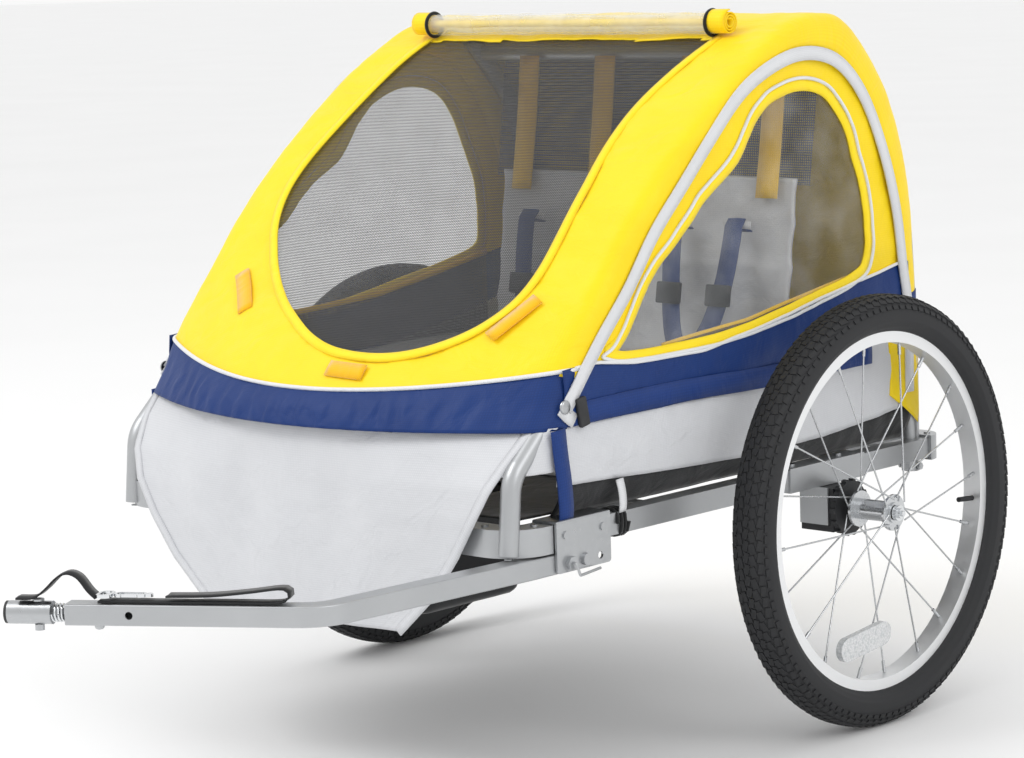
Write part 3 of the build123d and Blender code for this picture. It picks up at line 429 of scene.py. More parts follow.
def coated_cloth(name, pale, deep, rough, rib_mm=2.6, sheen=0.25, coords="UV"):
    """Plain-woven polyester with a thin coating: fine ribs both ways, cloudy dye and small creases."""
    finish = new_finish(name, pale, Roughness=rough, IOR=1.38, Sheen_Weight=sheen, Sheen_Roughness=0.45)
    place = add(finish, "ShaderNodeTexCoord").outputs[coords]
    # threads are 0.4 mm apart, drawn at rib_mm so that they show; a band repeats every 0.314 / scale
    rib_scale = 0.314 / (rib_mm * 0.001)
    warp = add(finish, "ShaderNodeTexWave", {"Vector": place, "Scale": rib_scale}, bands_direction="X")
    weft = add(finish, "ShaderNodeTexWave", {"Vector": place, "Scale": rib_scale}, bands_direction="Y")
    weave = add(
        finish, "ShaderNodeMath", {0: warp.outputs["Fac"], 1: weft.outputs["Fac"]}, operation="MULTIPLY"
    )
    dye = add(
        finish, "ShaderNodeTexNoise", {"Vector": place, "Scale": 11.0, "Detail": 5.0, "Roughness": 0.6}
    )
    crease = add(
        finish, "ShaderNodeTexNoise",
        {"Vector": place, "Scale": 26.0, "Detail": 4.0, "Distortion": 0.9},
    )
    tone = add(
        finish, "ShaderNodeMix", {0: dye.outputs["Fac"], 6: linear(pale), 7: linear(deep)}, data_type="RGBA",
    )
    threads = add(
        finish, "ShaderNodeMix",
        {0: weave.outputs["Value"], 6: tone.outputs[2], 7: linear(pale)}, data_type="RGBA",
    )
    into_shader(finish, "Base Color", threads.outputs[2])
    gloss = add(
        finish, "ShaderNodeMapRange",
        {"Value": dye.outputs["Fac"], "To Min": rough - 0.08, "To Max": rough + 0.1},
    )
    into_shader(finish, "Roughness", gloss.outputs["Result"])
    fold = add(
        finish, "ShaderNodeBump", {"Height": crease.outputs["Fac"], "Strength": 0.5, "Distance": 0.005}
    )
    rib = add(
        finish,
        "ShaderNodeBump",
        {
            "Height": weave.outputs["Value"], "Strength": 0.25, "Distance": 0.0003,
            "Normal": fold.outputs["Normal"],
        },
    )
    into_shader(finish, "Normal", rib.outputs["Normal"])
    return finish


def cloth_piece(name, place, flat, cells, finish, body, thick=0.0011, keep=None):
    """A cloth whose point at (u, v), each 0 to 1, lies where place says; flat is its size in metres."""
    shape = bmesh.new()
    bmesh.ops.create_grid(shape, x_segments=cells[0], y_segments=cells[1], size=0.5)
    if keep:
        away = [
            f
            for f in shape.faces
            if not keep(f.calc_center_median().x + 0.5, f.calc_center_median().y + 0.5)
        ]
        bmesh.ops.delete(shape, geom=away, context="FACES")
    return lay_cloth(name, shape, lambda co: (co.x + 0.5, co.y + 0.5), place, flat, finish, body, thick)


def thicken(piece, thick):
    """Cloth thickness, half each way; nets and films are thinner than can be seen and keep one layer."""
    if thick:
        cloth = piece.modifiers.new("cloth", "SOLIDIFY")
        cloth.thickness = thick
        cloth.offset = 0.0


def lay_cloth(name, shape, share, place, flat, finish, body, thick):
    """Gives a flat mesh its cloth coordinates in metres, lays it in place and thickens it."""
    threads = shape.loops.layers.uv.new("cloth")
    for face in shape.faces:
        for corner in face.loops:
            u, v = share(corner.vert.co)
            corner[threads].uv = (u * flat[0], v * flat[1])
    for vert in shape.verts:
        u, v = share(vert.co)
        vert.co = place(u, v)
    piece = finished(name, shape, finish, body)
    thicken(piece, thick)
    return piece


# the arch's outer line and the line of the side band below it, front to rear, as (ahead, height)
ARCH_EDGE = [
    (465, 429), (453, 455), (429, 491), (386, 544), (342, 597), (290, 648), (237, 692), (147, 755),
    (60, 803), (14, 817), (-28, 820), (-66, 813), (-106, 781), (-151, 724), (-178, 663), (-194, 590),
    (-199, 517), (-200, 440), (-197, 352),
]
BAND_EDGE = [
    (459, 418), (400, 486), (349, 538), (305, 593), (252, 643), (198, 694), (143, 740), (78, 768),
    (22, 776), (-35, 763), (-83, 722), (-121, 655), (-146, 582), (-158, 509), (-167, 462), (-167, 345),
]
PROFILE_STEPS = 260
arch_line = smooth_line([(a, z, 0) for a, z in ARCH_EDGE], PROFILE_STEPS)
band_fine = smooth_line([(a, z, 0) for a, z in BAND_EDGE], 400)
band_line, nearest = [], 0
for at in arch_line:
    nearest = min(range(nearest, min(nearest + 40, 401)), key=lambda k: (band_fine[k] - at).length)
    band_line.append(band_fine[nearest])
# even out the pairing of the two lines
for _ in range(12):
    band_line = [
        band_line[0],
        *((a + b + c) / 3 for a, b, c in zip(band_line, band_line[1:], band_line[2:])),
        band_line[-1],
    ]
top_step = max(range(PROFILE_STEPS + 1), key=lambda k: arch_line[k].y)
FRONT_HEIGHTS = [(arch_line[k].y, k / PROFILE_STEPS) for k in range(top_step + 1)]
# how far the middle of the front stands ahead of its ends, by height
FRONT_BOW = [(400, 90), (430, 88), (480, 66), (520, 46), (563, 31), (640, 15), (706, 6), (760, 2), (800, 0)]
HALF_OUT = 312.0
FLAT_HALF = 288.0
SHOULDER = 44.0


def hem_height(across):
    """Height of the front seam between the yellow cover and the navy band."""
    return 433.0 + 26.0 * min(abs(across) / 310.0, 1.0) ** 2


def bow_shape(across):
    return max(1.0 - (across / 310.0) ** 2, 0.0)


def cover_point(u, v):
    """The cover: u across from right to left over both shoulders, v from front hem to rear hem."""
    run = (u - 0.5) * 2 * (FLAT_HALF + SHOULDER)
    side = 1.0 if run > 0 else -1.0
    bend = max(abs(run) - FLAT_HALF, 0.0) / SHOULDER * math.pi / 2
    across = abs(run) if bend == 0 else FLAT_HALF + (HALF_OUT - FLAT_HALF) * math.sin(bend) ** 0.75
    lowest = level_at(FRONT_HEIGHTS, hem_height(across))
    t = (lowest + (1 - lowest) * v) * PROFILE_STEPS
    k = min(int(t), PROFILE_STEPS - 1)
    arch = arch_line[k].lerp(arch_line[k + 1], t - k)
    band = band_line[k].lerp(band_line[k + 1], t - k)
    edge = band + (arch - band) * max(math.cos(bend), 0.0) ** 0.75
    outward = (arch - band).normalized()
    sag = 5.0 * bow_shape(across) if t > top_step else 0.0
    ahead, high = edge.x - outward.x * sag, edge.y - outward.y * sag
    if t <= top_step:
        ahead += level_at(FRONT_BOW, arch.y) * bow_shape(across)
    calm = min(v / 0.03, (1 - v) / 0.03, 1.0) * (1.0 if bend == 0 else 0.5)
    at = spot(side * across, ahead, high)
    # the cloth is tight along the tube, so its waves run across the shoulder
    wave = 2.6 * ripple(Vector((at.x * 0.6, at.y, at.z * 1.3)), 0.085) + 1.1 * ripple(at, 0.03, 5.0)
    return at + Vector((0, -outward.x, outward.y)) * (wave * calm * 0.001)


# the front opening's edge, as (across, height), from its top on the left round the bottom; slack cloth
# hangs a little lower on the left
OPENING = [
    (229, 794), (216, 758), (208, 710), (221, 641), (229, 581), (224, 537), (206, 509), (178, 489),
    (136, 474), (88, 468), (30, 471), (-18, 481), (-64, 496), (-112, 514), (-151, 534), (-188, 560),
    (-222, 596), (-240, 637), (-238, 690), (-234, 740), (-232, 771), (-226, 794),
]
opening_line = [(p.x, p.y) for p in smooth_line([(x, z, 0) for x, z in OPENING], 150)]
TOP_OF_OPENING = 794.0


def in_opening(across, high, margin=0.0):
    """Whether a place on the front lies in the opening, or within a margin outside it."""
    if high > TOP_OF_OPENING + margin:
        return False
    middle = (0.0, 640.0)
    shrink = 1 - margin / 200.0
    x, z = middle[0] + (across - middle[0]) * shrink, middle[1] + (high - middle[1]) * shrink
    crossings = 0
    for (x1, z1), (x2, z2) in zip(opening_line, opening_line[1:] + opening_line[:1]):
        if (z1 > z) != (z2 > z) and x < x1 + (z - z1) * (x2 - x1) / (z2 - z1):
            crossings += 1
    return crossings % 2 == 1


def cover_mm(u, v):
    """Across and height, in mm, of a place on the cover before its waves, and whether it is in front."""
    run = (u - 0.5) * 2 * (FLAT_HALF + SHOULDER)
    lowest = level_at(FRONT_HEIGHTS, hem_height(min(abs(run), FLAT_HALF)))
    t = (lowest + (1 - lowest) * v) * PROFILE_STEPS
    k = min(int(t), PROFILE_STEPS - 1)
    return run, arch_line[k].lerp(arch_line[k + 1], t - k).y, t <= top_step


def outside_opening(u, v):
    across, high, in_front = cover_mm(u, v)
    return not in_front or not in_opening(across, high)


yellow = coated_cloth("coated_yellow_polyester", "FADC10", "EFC806", 0.5, sheen=0.1)
COVER_FLAT = (0.664, 1.52)
cover = cloth_piece("cover", cover_point, COVER_FLAT, (100, 224), yellow, "chassis", keep=outside_opening)
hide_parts("canopy_roof", "front_panel")


def front_point(across, high, lift=0.0):
    """A place on the front of the cover, from across and height in mm, lifted forward by lift mm."""
    t = level_at(FRONT_HEIGHTS, high) * PROFILE_STEPS
    k = min(int(t), PROFILE_STEPS - 1)
    arch = arch_line[k].lerp(arch_line[k + 1], t - k)
    band = band_line[k].lerp(band_line[k + 1], t - k)
    ahead = arch.x + level_at(FRONT_BOW, arch.y) * bow_shape(across)
    if high < arch_line[0].y:
        ahead += (arch_line[0].y - high) * 0.75
        return spot(across, ahead + lift, high)
    outward = (arch - band).normalized()
    return spot(across, ahead + outward.x * lift, arch.y + outward.y * lift)


def ribbon(name, line, out, width, thick, finish, body, lift=0.0):
    """A flat tape along a line of points; out gives the way its face looks at each of them."""
    shape = bmesh.new()
    threads = shape.loops.layers.uv.new("cloth")
    count = len(line)
    pairs, run = [], 0.0
    for k, at in enumerate(line):
        way = (line[min(k + 1, count - 1)] - line[max(k - 1, 0)]).normalized()
        face = (out[k] - way * out[k].dot(way)).normalized()
        aside = way.cross(face) * (width / 2)
        at = at + face * lift
        run += (line[k] - line[k - 1]).length if k else 0.0
        pairs.append(
            (
                shape.verts.new(at - aside),
                shape.verts.new(at + face * thick * 0.25),
                shape.verts.new(at + aside),
                run,
            )
        )
    for a, b in zip(pairs, pairs[1:]):
        for j in (0, 1):
            face = shape.faces.new((a[j], b[j], b[j + 1], a[j + 1]))
            for corner, uv in zip(face.loops, ((j * width / 2, a[3]), (j * width / 2, b[3]),
                                               ((j + 1) * width / 2, b[3]), ((j + 1) * width / 2, a[3]))):
                corner[threads].uv = uv
    piece = finished(name, shape, finish, body)
    thicken(piece, thick)
    return piece


# the opening's bound edge: folded yellow tape, 11 mm wide, from one top corner round to the other
bound_line = [front_point(x, z, 1.5) for x, z in opening_line]
bound_out = [(front_point(x, z, 10.0) - front_point(x, z)).normalized() for x, z in opening_line]
edge_tape = coated_cloth("yellow_edge_tape", "FFE41E", "F3CC0C", 0.55, rib_mm=2.0, sheen=0.1)
binding = ribbon("opening_binding", bound_line, bound_out, 0.011, 0.0022, edge_tape, "chassis")

# ------------------------------------------------------------------ front screen
# Black polyester insect mesh sewn behind the opening. It lets more than half of the light through,
# so the cabin shows through it darkened and finely dotted.


def open_mesh(name, thread, pitch_mm, covered, coords="UV"):
    """Warp-knitted net: round holes in rows between dark threads."""
    finish = new_finish(name, thread, Roughness=0.6, IOR=1.5, Sheen_Weight=0.2)
    place = add(finish, "ShaderNodeTexCoord").outputs[coords]
    # holes are 1.2 mm apart, drawn at pitch_mm so that they show
    scale = 0.314 / (pitch_mm * 0.001)
    one = add(finish, "ShaderNodeTexWave", {"Vector": place, "Scale": scale}, bands_direction="X")
    two = add(finish, "ShaderNodeTexWave", {"Vector": place, "Scale": scale}, bands_direction="Y")
    hole = add(
        finish, "ShaderNodeMath", {0: one.outputs["Fac"], 1: two.outputs["Fac"]}, operation="MULTIPLY"
    )
    thickness = add(finish, "ShaderNodeTexNoise", {"Vector": place, "Scale": 40.0})
    edge = add(
        finish,
        "ShaderNodeMapRange",
        {
            "Value": hole.outputs["Value"], "From Min": covered, "From Max": covered + 0.2, "To Min": 1.0,
            "To Max": 0.06,
        },
    )
    into_shader(finish, "Alpha", edge.outputs["Result"])
    tone = add(
        finish, "ShaderNodeMix",
        {0: thickness.outputs["Fac"], 6: linear(thread), 7: linear("3A3B3E")}, data_type="RGBA",
    )
    into_shader(finish, "Base Color", tone.outputs[2])
    bump = add(
        finish, "ShaderNodeBump", {"Height": hole.outputs["Value"], "Strength": 0.4, "Distance": 0.0004}
    )
    into_shader(finish, "Normal", bump.outputs["Normal"])
    finish.surface_render_method = "DITHERED"
    return finish


insect_net = open_mesh("black_insect_net", "2A2B2E", 2.6, 0.07)
SCREEN_HALF, SCREEN_LOW, SCREEN_HIGH = 244.0, 462.0, 800.0


def screen_point(u, v):
    across, high = (u * 2 - 1) * SCREEN_HALF, SCREEN_LOW + (SCREEN_HIGH - SCREEN_LOW) * v
    return front_point(across, high, -3.0)


def on_screen(u, v):
    across, high = (u * 2 - 1) * SCREEN_HALF, SCREEN_LOW + (SCREEN_HIGH - SCREEN_LOW) * v
    return in_opening(across, high, 9.0)


SCREEN_FLAT = (0.50, 0.56)
screen = cloth_piece(
    "front_screen", screen_point, SCREEN_FLAT, (80, 80), insect_net, "chassis", 0, keep=on_screen
)
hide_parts("front_mesh")

# ------------------------------------------------------------------ front seam and navy band
# White piping closes the yellow cover. Under it a navy band is gathered on elastic, so it stands in
# small upright pleats, and its lower edge hangs free over the skirt.


def piping(name, line, radius, finish, body, closed=False):
    """A round cord sewn into a seam, as a bevelled curve."""
    curve = bpy.data.curves.new(name, "CURVE")
    curve.dimensions = "3D"
    run = curve.splines.new("NURBS")
    run.points.add(len(line) - 1)
    for point, at in zip(run.points, line):
        point.co = (*at, 1.0)
    run.order_u = 3
    run.use_endpoint_u = not closed
    run.use_cyclic_u = closed
    run.resolution_u = 2
    curve.bevel_depth = radius
    curve.bevel_resolution = 2
    curve.use_fill_caps = True
    curve.materials.append(finish)
    piece = bpy.data.objects.new(name, curve)
    bpy.context.scene.collection.objects.link(piece)
    if body:
        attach(piece, body)
    return piece


white_piping = coated_cloth("white_piping_tape", "E4E5E6", "CDCFD1", 0.5, rib_mm=2.0, coords="Object")

navy = coated_cloth("coated_navy_polyester", "0C3474", "06245A", 0.55, sheen=0.02)
BAND_LOW = 401.0


def corner_run(run):
    """Across and setback, in mm, of a place run mm from the middle, round the corner of the arch tube."""
    bend = min(max(abs(run) - FLAT_HALF, 0.0) / SHOULDER, 1.0) * math.pi / 2
    across = abs(run) if bend == 0 else FLAT_HALF + (HALF_OUT - FLAT_HALF) * math.sin(bend) ** 0.75
    return math.copysign(across, run), 34.0 * (1 - max(math.cos(bend), 0.0) ** 0.75)


def front_band_point(u, v):
    across, setback = corner_run((u * 2 - 1) * (FLAT_HALF + SHOULDER))
    low = BAND_LOW - 3.0 * bow_shape(across)
    high = low + (hem_height(across) + 2 - low) * v
    at = front_point(across, high, 1.0) + Vector((0, setback * 0.001, 0))
    pleat = math.sin(across / 4.2 + 3.5 * ripple(at, 0.05)) * 1.7 * math.sin(math.pi * min(v + 0.12, 1.0))
    billow = 6.0 * math.sin(math.pi * v) + 2.0 * ripple(at, 0.06, 2.0)
    return at + Vector((0, -0.8, 0.2)) * ((pleat + billow) * 0.001) * bow_shape(across * 0.95)


FRONT_BAND_FLAT = (0.70, 0.055)
front_band = cloth_piece("front_navy_band", front_band_point, FRONT_BAND_FLAT, (340, 12), navy, "chassis")

seam_line = []
for k in range(73):
    seam_across, seam_back = corner_run((k / 36 - 1) * (FLAT_HALF + SHOULDER))
    seam_line.append(
        front_point(seam_across, hem_height(seam_across) + 1, 3.0) + Vector((0, seam_back * 0.001, 0))
    )
seam = piping("front_seam_piping", seam_line, 0.0024, white_piping, "chassis")

# ------------------------------------------------------------------ skirt
# Light grey coated polyester that closes the front below the band, passes outside the front tube
# and narrows to the foot well. Its free edges are folded and sewn.
grey = coated_cloth("coated_grey_polyester", "D0D1D4", "BDBFC3", 0.5, sheen=0.12)
# height, half width, ends ahead, middle ahead
SKIRT = [
    (181, 151, 552, 560), (228, 204, 552, 563), (272, 238, 552, 565), (312, 262, 550, 566),
    (345, 276, 540, 566), (378, 288, 514, 564), (412, 294, 478, 556),
]


def skirt_reading(high, column):
    return level_at([(row[0], row[column]) for row in SKIRT], high)


def skirt_point(u, v):
    high = SKIRT[0][0] + (SKIRT[-1][0] - SKIRT[0][0]) * v
    half, ends, middle = (skirt_reading(high, column) for column in (1, 2, 3))
    share = u * 2 - 1
    at = spot(share * half, ends + (middle - ends) * (1 - share * share), high)
    # long soft folds run from the upper corners down to the foot well
    pull = math.sin((abs(share) * 3.4 + v * 1.1) * math.pi) * 4.0 * math.sin(math.pi * min(v * 1.1, 1.0))
    rest = 4.0 * ripple(Vector((at.x, at.y, at.z * 0.5)), 0.16, 4.0) + 1.2 * ripple(at, 0.05, 9.0)
    return at + Vector((0, -1, 0)) * ((pull + rest) * (1 - v ** 8) * (1 - abs(share) ** 6) * 0.001)


SKIRT_FLAT = (0.62, 0.24)
skirt = cloth_piece("front_skirt_cloth", skirt_point, SKIRT_FLAT, (96, 48), grey, "chassis")
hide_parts("front_skirt")
for side, side_word in ((0.0, "right"), (1.0, "left")):
    edge = [skirt_point(side, k / 30) for k in range(31)]
    hem = ribbon(
        f"{side_word}_skirt_hem", edge, [Vector((0, -1, 0))] * 31, 0.011, 0.002, grey, "chassis", 0.001
    )

# ------------------------------------------------------------------ cabin sides
# Each side is sewn from three cloths: yellow round the clear window, a navy band below it and a
# light grey panel down to the rail, all on one plane outside the arch tube and slightly slack.
# where yellow meets navy, where navy meets grey, and the grey panel's lower edge: (ahead, height)
YELLOW_LOW = [
    (452, 462), (404, 466), (338, 458), (218, 457), (109, 473), (33, 487), (-60, 503), (-108, 510),
    (-170, 522),
]
NAVY_LOW = [(468, 402), (300, 403), (98, 407), (-60, 432), (-172, 462)]
GREY_LOW = [(466, 341), (300, 333), (150, 327), (0, 330), (-100, 338), (-186, 348)]
# the window's edge as (ahead, height), from its front corner over the top
WINDOW = [
    (392, 470), (364, 486), (311, 555), (267, 589), (223, 629), (168, 664), (131, 708), (94, 735),
    (37, 748), (-19, 737), (-57, 700), (-78, 655), (-96, 610), (-102, 560), (-98, 524), (-80, 508),
    (-20, 492), (80, 474), (180, 462), (290, 460), (360, 462),
]


def side_depth(ahead, high):
    """Millimetres that the side cloth stands out from its plane: slack and small waves."""
    at = Vector((ahead, high, 0)) * 0.001
    return 2.6 * ripple(at, 0.11, 6.0) + 1.2 * ripple(at, 0.035, 1.0)


def side_at(side, ahead, high, lift=0.0):
    return spot(side * (HALF_OUT - 1.5 + lift + side_depth(ahead, high)), ahead, high)


def read_line(table, ahead):
    return level_at(sorted(table), ahead)


def from_middle(outline, middle, turn):
    """Distance from a middle point to a closed outline in one direction."""
    way = Vector((math.cos(turn), math.sin(turn)))
    best = 0.0
    for a, b in zip(outline, outline[1:] + outline[:1]):
        a, b = a - middle, b - middle
        run = b - a
        flat = way.cross(run)
        if abs(flat) > 1e-9:
            reach, share = a.cross(run) / flat, a.cross(way) / flat
            if reach > 0 and -1e-6 <= share <= 1 + 1e-6:
                best = max(best, reach)
    return best


def ring_cloth(name, outer, inner, middle, place, rings, finish, body, thick=0.0011):
    """A cloth between two closed outlines, or inside one when inner is None."""
    turns = 200
    shape = bmesh.new()
    bmesh.ops.create_circle(shape, segments=turns, radius=2.0)
    bmesh.ops.create_circle(shape, segments=turns, radius=1.0)
    bmesh.ops.bridge_loops(shape, edges=shape.edges[:])
    across = [e for e in shape.edges if abs(e.verts[0].co.length - e.verts[1].co.length) > 0.5]
    bmesh.ops.subdivide_edges(shape, edges=across, cuts=rings, use_grid_fill=True)
    threads = shape.loops.layers.uv.new("cloth")
    for vert in shape.verts:
        turn, share = math.atan2(vert.co.y, vert.co.x), min(max(vert.co.length - 1.0, 0.0), 1.0)
        far = from_middle(outer, middle, turn)
        near = from_middle(inner, middle, turn) if inner else far * 0.04
        flat = middle + Vector((math.cos(turn), math.sin(turn))) * (near + (far - near) * share)
        vert.co = (flat.x, flat.y, 0)
    if not inner:
        bmesh.ops.holes_fill(shape, edges=[e for e in shape.edges if e.is_boundary], sides=0)
        bmesh.ops.delete(
            shape,
            geom=[f for f in shape.faces if len(f.verts) > 4 and f.calc_area() > 60000],
            context="FACES_ONLY",
        )
    for face in shape.faces:
        for corner in face.loops:
            corner[threads].uv = (corner.vert.co.x * 0.001, corner.vert.co.y * 0.001)
    for vert in shape.verts:
        vert.co = place(vert.co.x, vert.co.y)
    bmesh.ops.recalc_face_normals(shape, faces=shape.faces)
    piece = finished(name, shape, finish, body)
    thicken(piece, thick)
    return piece


band_outline = [Vector((p.x, p.y)) for p in band_line[::4]]
yellow_outline = [p for p in band_outline if p.y > read_line(YELLOW_LOW, p.x) - 2]
yellow_outline += [Vector((a, read_line(YELLOW_LOW, a))) for a in range(-165, 425, 10)]
WINDOW_MIDDLE = Vector((60.0, 590.0))
window_line = [
    Vector((p.x, p.y)) for p in smooth_line([(a, z, 0) for a, z in WINDOW + WINDOW[:1]], 160)
][:-1]
window_glued = [WINDOW_MIDDLE + (p - WINDOW_MIDDLE) * 1.02 for p in window_line]
band_tape = coated_cloth("silver_grey_binding_tape", "DCDDDF", "C2C4C7", 0.42, rib_mm=2.0)
clear = new_finish("clear_pvc_film", "E6EAEC", Roughness=0.08, IOR=1.53, Alpha=0.2)
clear_spot = add(clear, "ShaderNodeTexCoord")
# the film is slightly wavy from being rolled, about 60 mm between waves, and the waves carry painted
# reflection
film_wave_and_glint = add(
    clear, "ShaderNodeTexNoise", {"Vector": clear_spot.outputs["UV"], "Scale": 16.0, "Detail": 3.0}
)
# painted reflection: where the waves rise the film is made less clear, as whitish streaks of gloss
painted_glint_alpha = add(
    clear, "ShaderNodeMapRange",
    {"Value": film_wave_and_glint.outputs["Fac"], "From Min": 0.35, "From Max": 0.75, "To Min": 0.07, "To Max": 0.2},
)
into_shader(clear, "Alpha", painted_glint_alpha.outputs["Result"])
# painted reflection: the same streaks are made whiter in colour
painted_glint_tone = add(
    clear,
    "ShaderNodeMix",
    {0: film_wave_and_glint.outputs["Fac"], 6: linear("DDE2E6"), 7: linear("F4F6F7")},
    data_type="RGBA",
)
into_shader(clear, "Base Color", painted_glint_tone.outputs[2])
clear_bump = add(
    clear, "ShaderNodeBump", {"Height": film_wave_and_glint.outputs["Fac"], "Strength": 0.5, "Distance": 0.006}
)
into_shader(clear, "Normal", clear_bump.outputs["Normal"])
clear.surface_render_method = "DITHERED"

black_cloth = coated_cloth("coated_black_polyester", "1C1D1F", "131416", 0.6)
navy_web = coated_cloth("woven_navy_webbing", "10367A", "0A2A60", 0.62, rib_mm=3.2, sheen=0.08)
LOWER_FLAT = (0.66, 0.10)
for side, side_word in ((1, "left"), (-1, "right")):
    upper = ring_cloth(
        f"{side_word}_side_yellow", yellow_outline, window_line, WINDOW_MIDDLE,
        lambda a, z: side_at(side, a, z, -1.0), 14, yellow, "chassis",
    )
    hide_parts(f"{side_word}_side_panel")
    film = ring_cloth(
        f"{side_word}_window_film", window_glued, None, WINDOW_MIDDLE,
        lambda a, z: side_at(side, a, z, -2.5), 10, clear, "chassis", 0,
    )
    if side > 0:
        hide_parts("side_windows")
    round_window = piping(
        f"{side_word}_window_piping", [side_at(side, p.x, p.y, 1.0) for p in window_line], 0.0021,
        white_piping, "chassis", closed=True,
    )
    tape_ring = [
        WINDOW_MIDDLE + (p - WINDOW_MIDDLE) * (1 - 8.0 / (p - WINDOW_MIDDLE).length) for p in window_line
    ]
    tape_ring.append(tape_ring[0])
    window_tape = ribbon(
        f"{side_word}_window_tape", [side_at(side, p.x, p.y, -0.4) for p in tape_ring],
        [Vector((side, 0, 0))] * len(tape_ring), 0.014, 0.0016, edge_tape, "chassis",
    )
    low_seam = piping(
        f"{side_word}_side_seam_piping",
        [side_at(side, a, read_line(YELLOW_LOW, a), 1.2) for a in range(-165, 446, 12)],
        0.002,
        white_piping,
        "chassis",
    )

    def navy_point(u, v):
        ahead = -172 + (454 + 172) * u
        low, high = read_line(NAVY_LOW, ahead), read_line(YELLOW_LOW, ahead) + 1
        return side_at(side, ahead, low + (high - low) * v, -0.5 + 2.5 * math.sin(math.pi * v))

    navy_side = cloth_piece(f"{side_word}_side_navy", navy_point, (0.63, 0.06), (110, 10), navy, "chassis")

    def grey_point(u, v):
        ahead = -186 + (470 + 186) * u
        low, high = read_line(GREY_LOW, ahead), read_line(NAVY_LOW, ahead) + 2
        return side_at(side, ahead, low + (high - low) * v, -1.0 + 3.0 * math.sin(math.pi * v))

    def fold_point(u, v):
        ahead = -188 + 58 * u
        low = 322 + 40 * u
        high = read_line(NAVY_LOW, max(ahead, -172)) + 1
        return side_at(side, ahead, low + (high - low) * v, 1.6 + 2.0 * math.sin(math.pi * u))

    fold = cloth_piece(f"{side_word}_rear_fold", fold_point, (0.058, 0.12), (16, 30), yellow, "chassis")
    lower = cloth_piece(f"{side_word}_side_grey", grey_point, LOWER_FLAT, (110, 14), grey, "chassis")

    def under_point(u, v):
        ahead = -182 + (462 + 182) * u
        high = read_line(GREY_LOW, ahead) + 2
        low = 303.0
        return spot(
            side * (308.0 - 20.0 * (1 - v) ** 2 + side_depth(ahead, high)), ahead, low + (high - low) * v
        )

    under = cloth_piece(
        f"{side_word}_floor_edge", under_point, (0.64, 0.04), (90, 6), black_cloth, "chassis"
    )

    # silver-grey tape bound over the seam between cover and side, ending in a snap at the front
    tape_line = [p for p in band_line if p.y > 410 or p.x < 0][::3]
    tape_at = [spot(side * (HALF_OUT + 0.8), p.x, p.y) for p in tape_line]
    tape = ribbon(
        f"{side_word}_side_band",
        tape_at,
        [Vector((side, 0, 0))] * len(tape_at),
        0.016,
        0.0022,
        band_tape,
        "chassis",
        0.002,
    )

    # navy webbing sewn along the band, tightened by a buckle at the front
    strap_at = [side_at(side, a, 416.0 - 1.5 * math.sin(a / 60.0), 3.5) for a in range(-90, 460, 10)]
    strap = ribbon(
        f"{side_word}_side_strap",
        strap_at,
        [Vector((side, 0, 0))] * len(strap_at),
        0.024,
        0.0018,
        navy_web,
        "chassis",
    )
    # and an upright webbing that ties the band down to the rail
    tie_at = [spot(side * p.x, p.y, p.z) for p in smooth_line(
        [(315.5, 470, 402), (316.5, 468, 375), (317.0, 464, 345), (317.0, 462, 318), (315.0, 461, 304)], 16)]
    tie = ribbon(
        f"{side_word}_tie_strap",
        tie_at,
        [Vector((side, 0, 0))] * len(tie_at),
        0.022,
        0.0018,
        navy_web,
        "chassis",
    )

# ------------------------------------------------------------------ floor and foot well
# Black coated polyester stretched between the rails, with a sewn bag let into it that hangs behind
# the skirt as a foot well.
FLOOR_HALF, FLOOR_FRONT, FLOOR_BACK, FLOOR_HIGH = 281.0, 500.0, -180.0, 306.5
WELL_HALF, WELL_FRONT, WELL_BACK, WELL_LOW = 145.0, 507.0, 331.0, 184.0


def floor_point(u, v):
    across, ahead = (u * 2 - 1) * FLOOR_HALF, FLOOR_BACK + (FLOOR_FRONT - FLOOR_BACK) * v
    return spot(across, ahead, FLOOR_HIGH + 1.5 * ripple(Vector((across, ahead, 0)) * 0.001, 0.12))


def beside_well(u, v):
    across, ahead = (u * 2 - 1) * FLOOR_HALF, FLOOR_BACK + (FLOOR_FRONT - FLOOR_BACK) * v
    return abs(across) > WELL_HALF - 4 or not WELL_BACK + 3 < ahead < WELL_FRONT - 3


floor_cloth = cloth_piece(
    "floor_cloth", floor_point, (0.562, 0.68), (62, 74), black_cloth, "chassis", keep=beside_well
)
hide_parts("floor_sling")

well_mid, well_size = spot(0, (WELL_FRONT + WELL_BACK) / 2, (FLOOR_HIGH + WELL_LOW) / 2), (
    2 * WELL_HALF * 0.001, (WELL_FRONT - WELL_BACK) * 0.001, (FLOOR_HIGH - WELL_LOW - 2) * 0.001)
well = bmesh.new()
bmesh.ops.create_cube(well, size=1.0, matrix=Matrix.Translation(well_mid) @ Matrix.Diagonal((*well_size, 1)))
bmesh.ops.delete(well, geom=[f for f in well.faces if f.normal.z > 0.9], context="FACES_ONLY")
sewn = [e for e in well.edges if not e.is_boundary]
bmesh.ops.bevel(well, geom=sewn, offset=0.022, segments=4, profile=0.5, affect="EDGES", material=-1)
bmesh.ops.subdivide_edges(
    well, edges=[e for e in well.edges if e.calc_length() > 0.03], cuts=9, use_grid_fill=True
)
for vert in well.verts:
    depth = (well_mid.z + well_size[2] / 2 - vert.co.z) / well_size[2]
    inward = (Vector((well_mid.x, well_mid.y, vert.co.z)) - vert.co)
    vert.co += inward * (0.09 * math.sin(math.pi * depth)) + Vector((0.3, 1, 0.3)) * (
        0.0022 * ripple(vert.co, 0.07) * depth
    )
foot_well = finished("foot_well_bag", well, black_cloth, "chassis")
thicken(foot_well, 0.0012)
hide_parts("footwell")

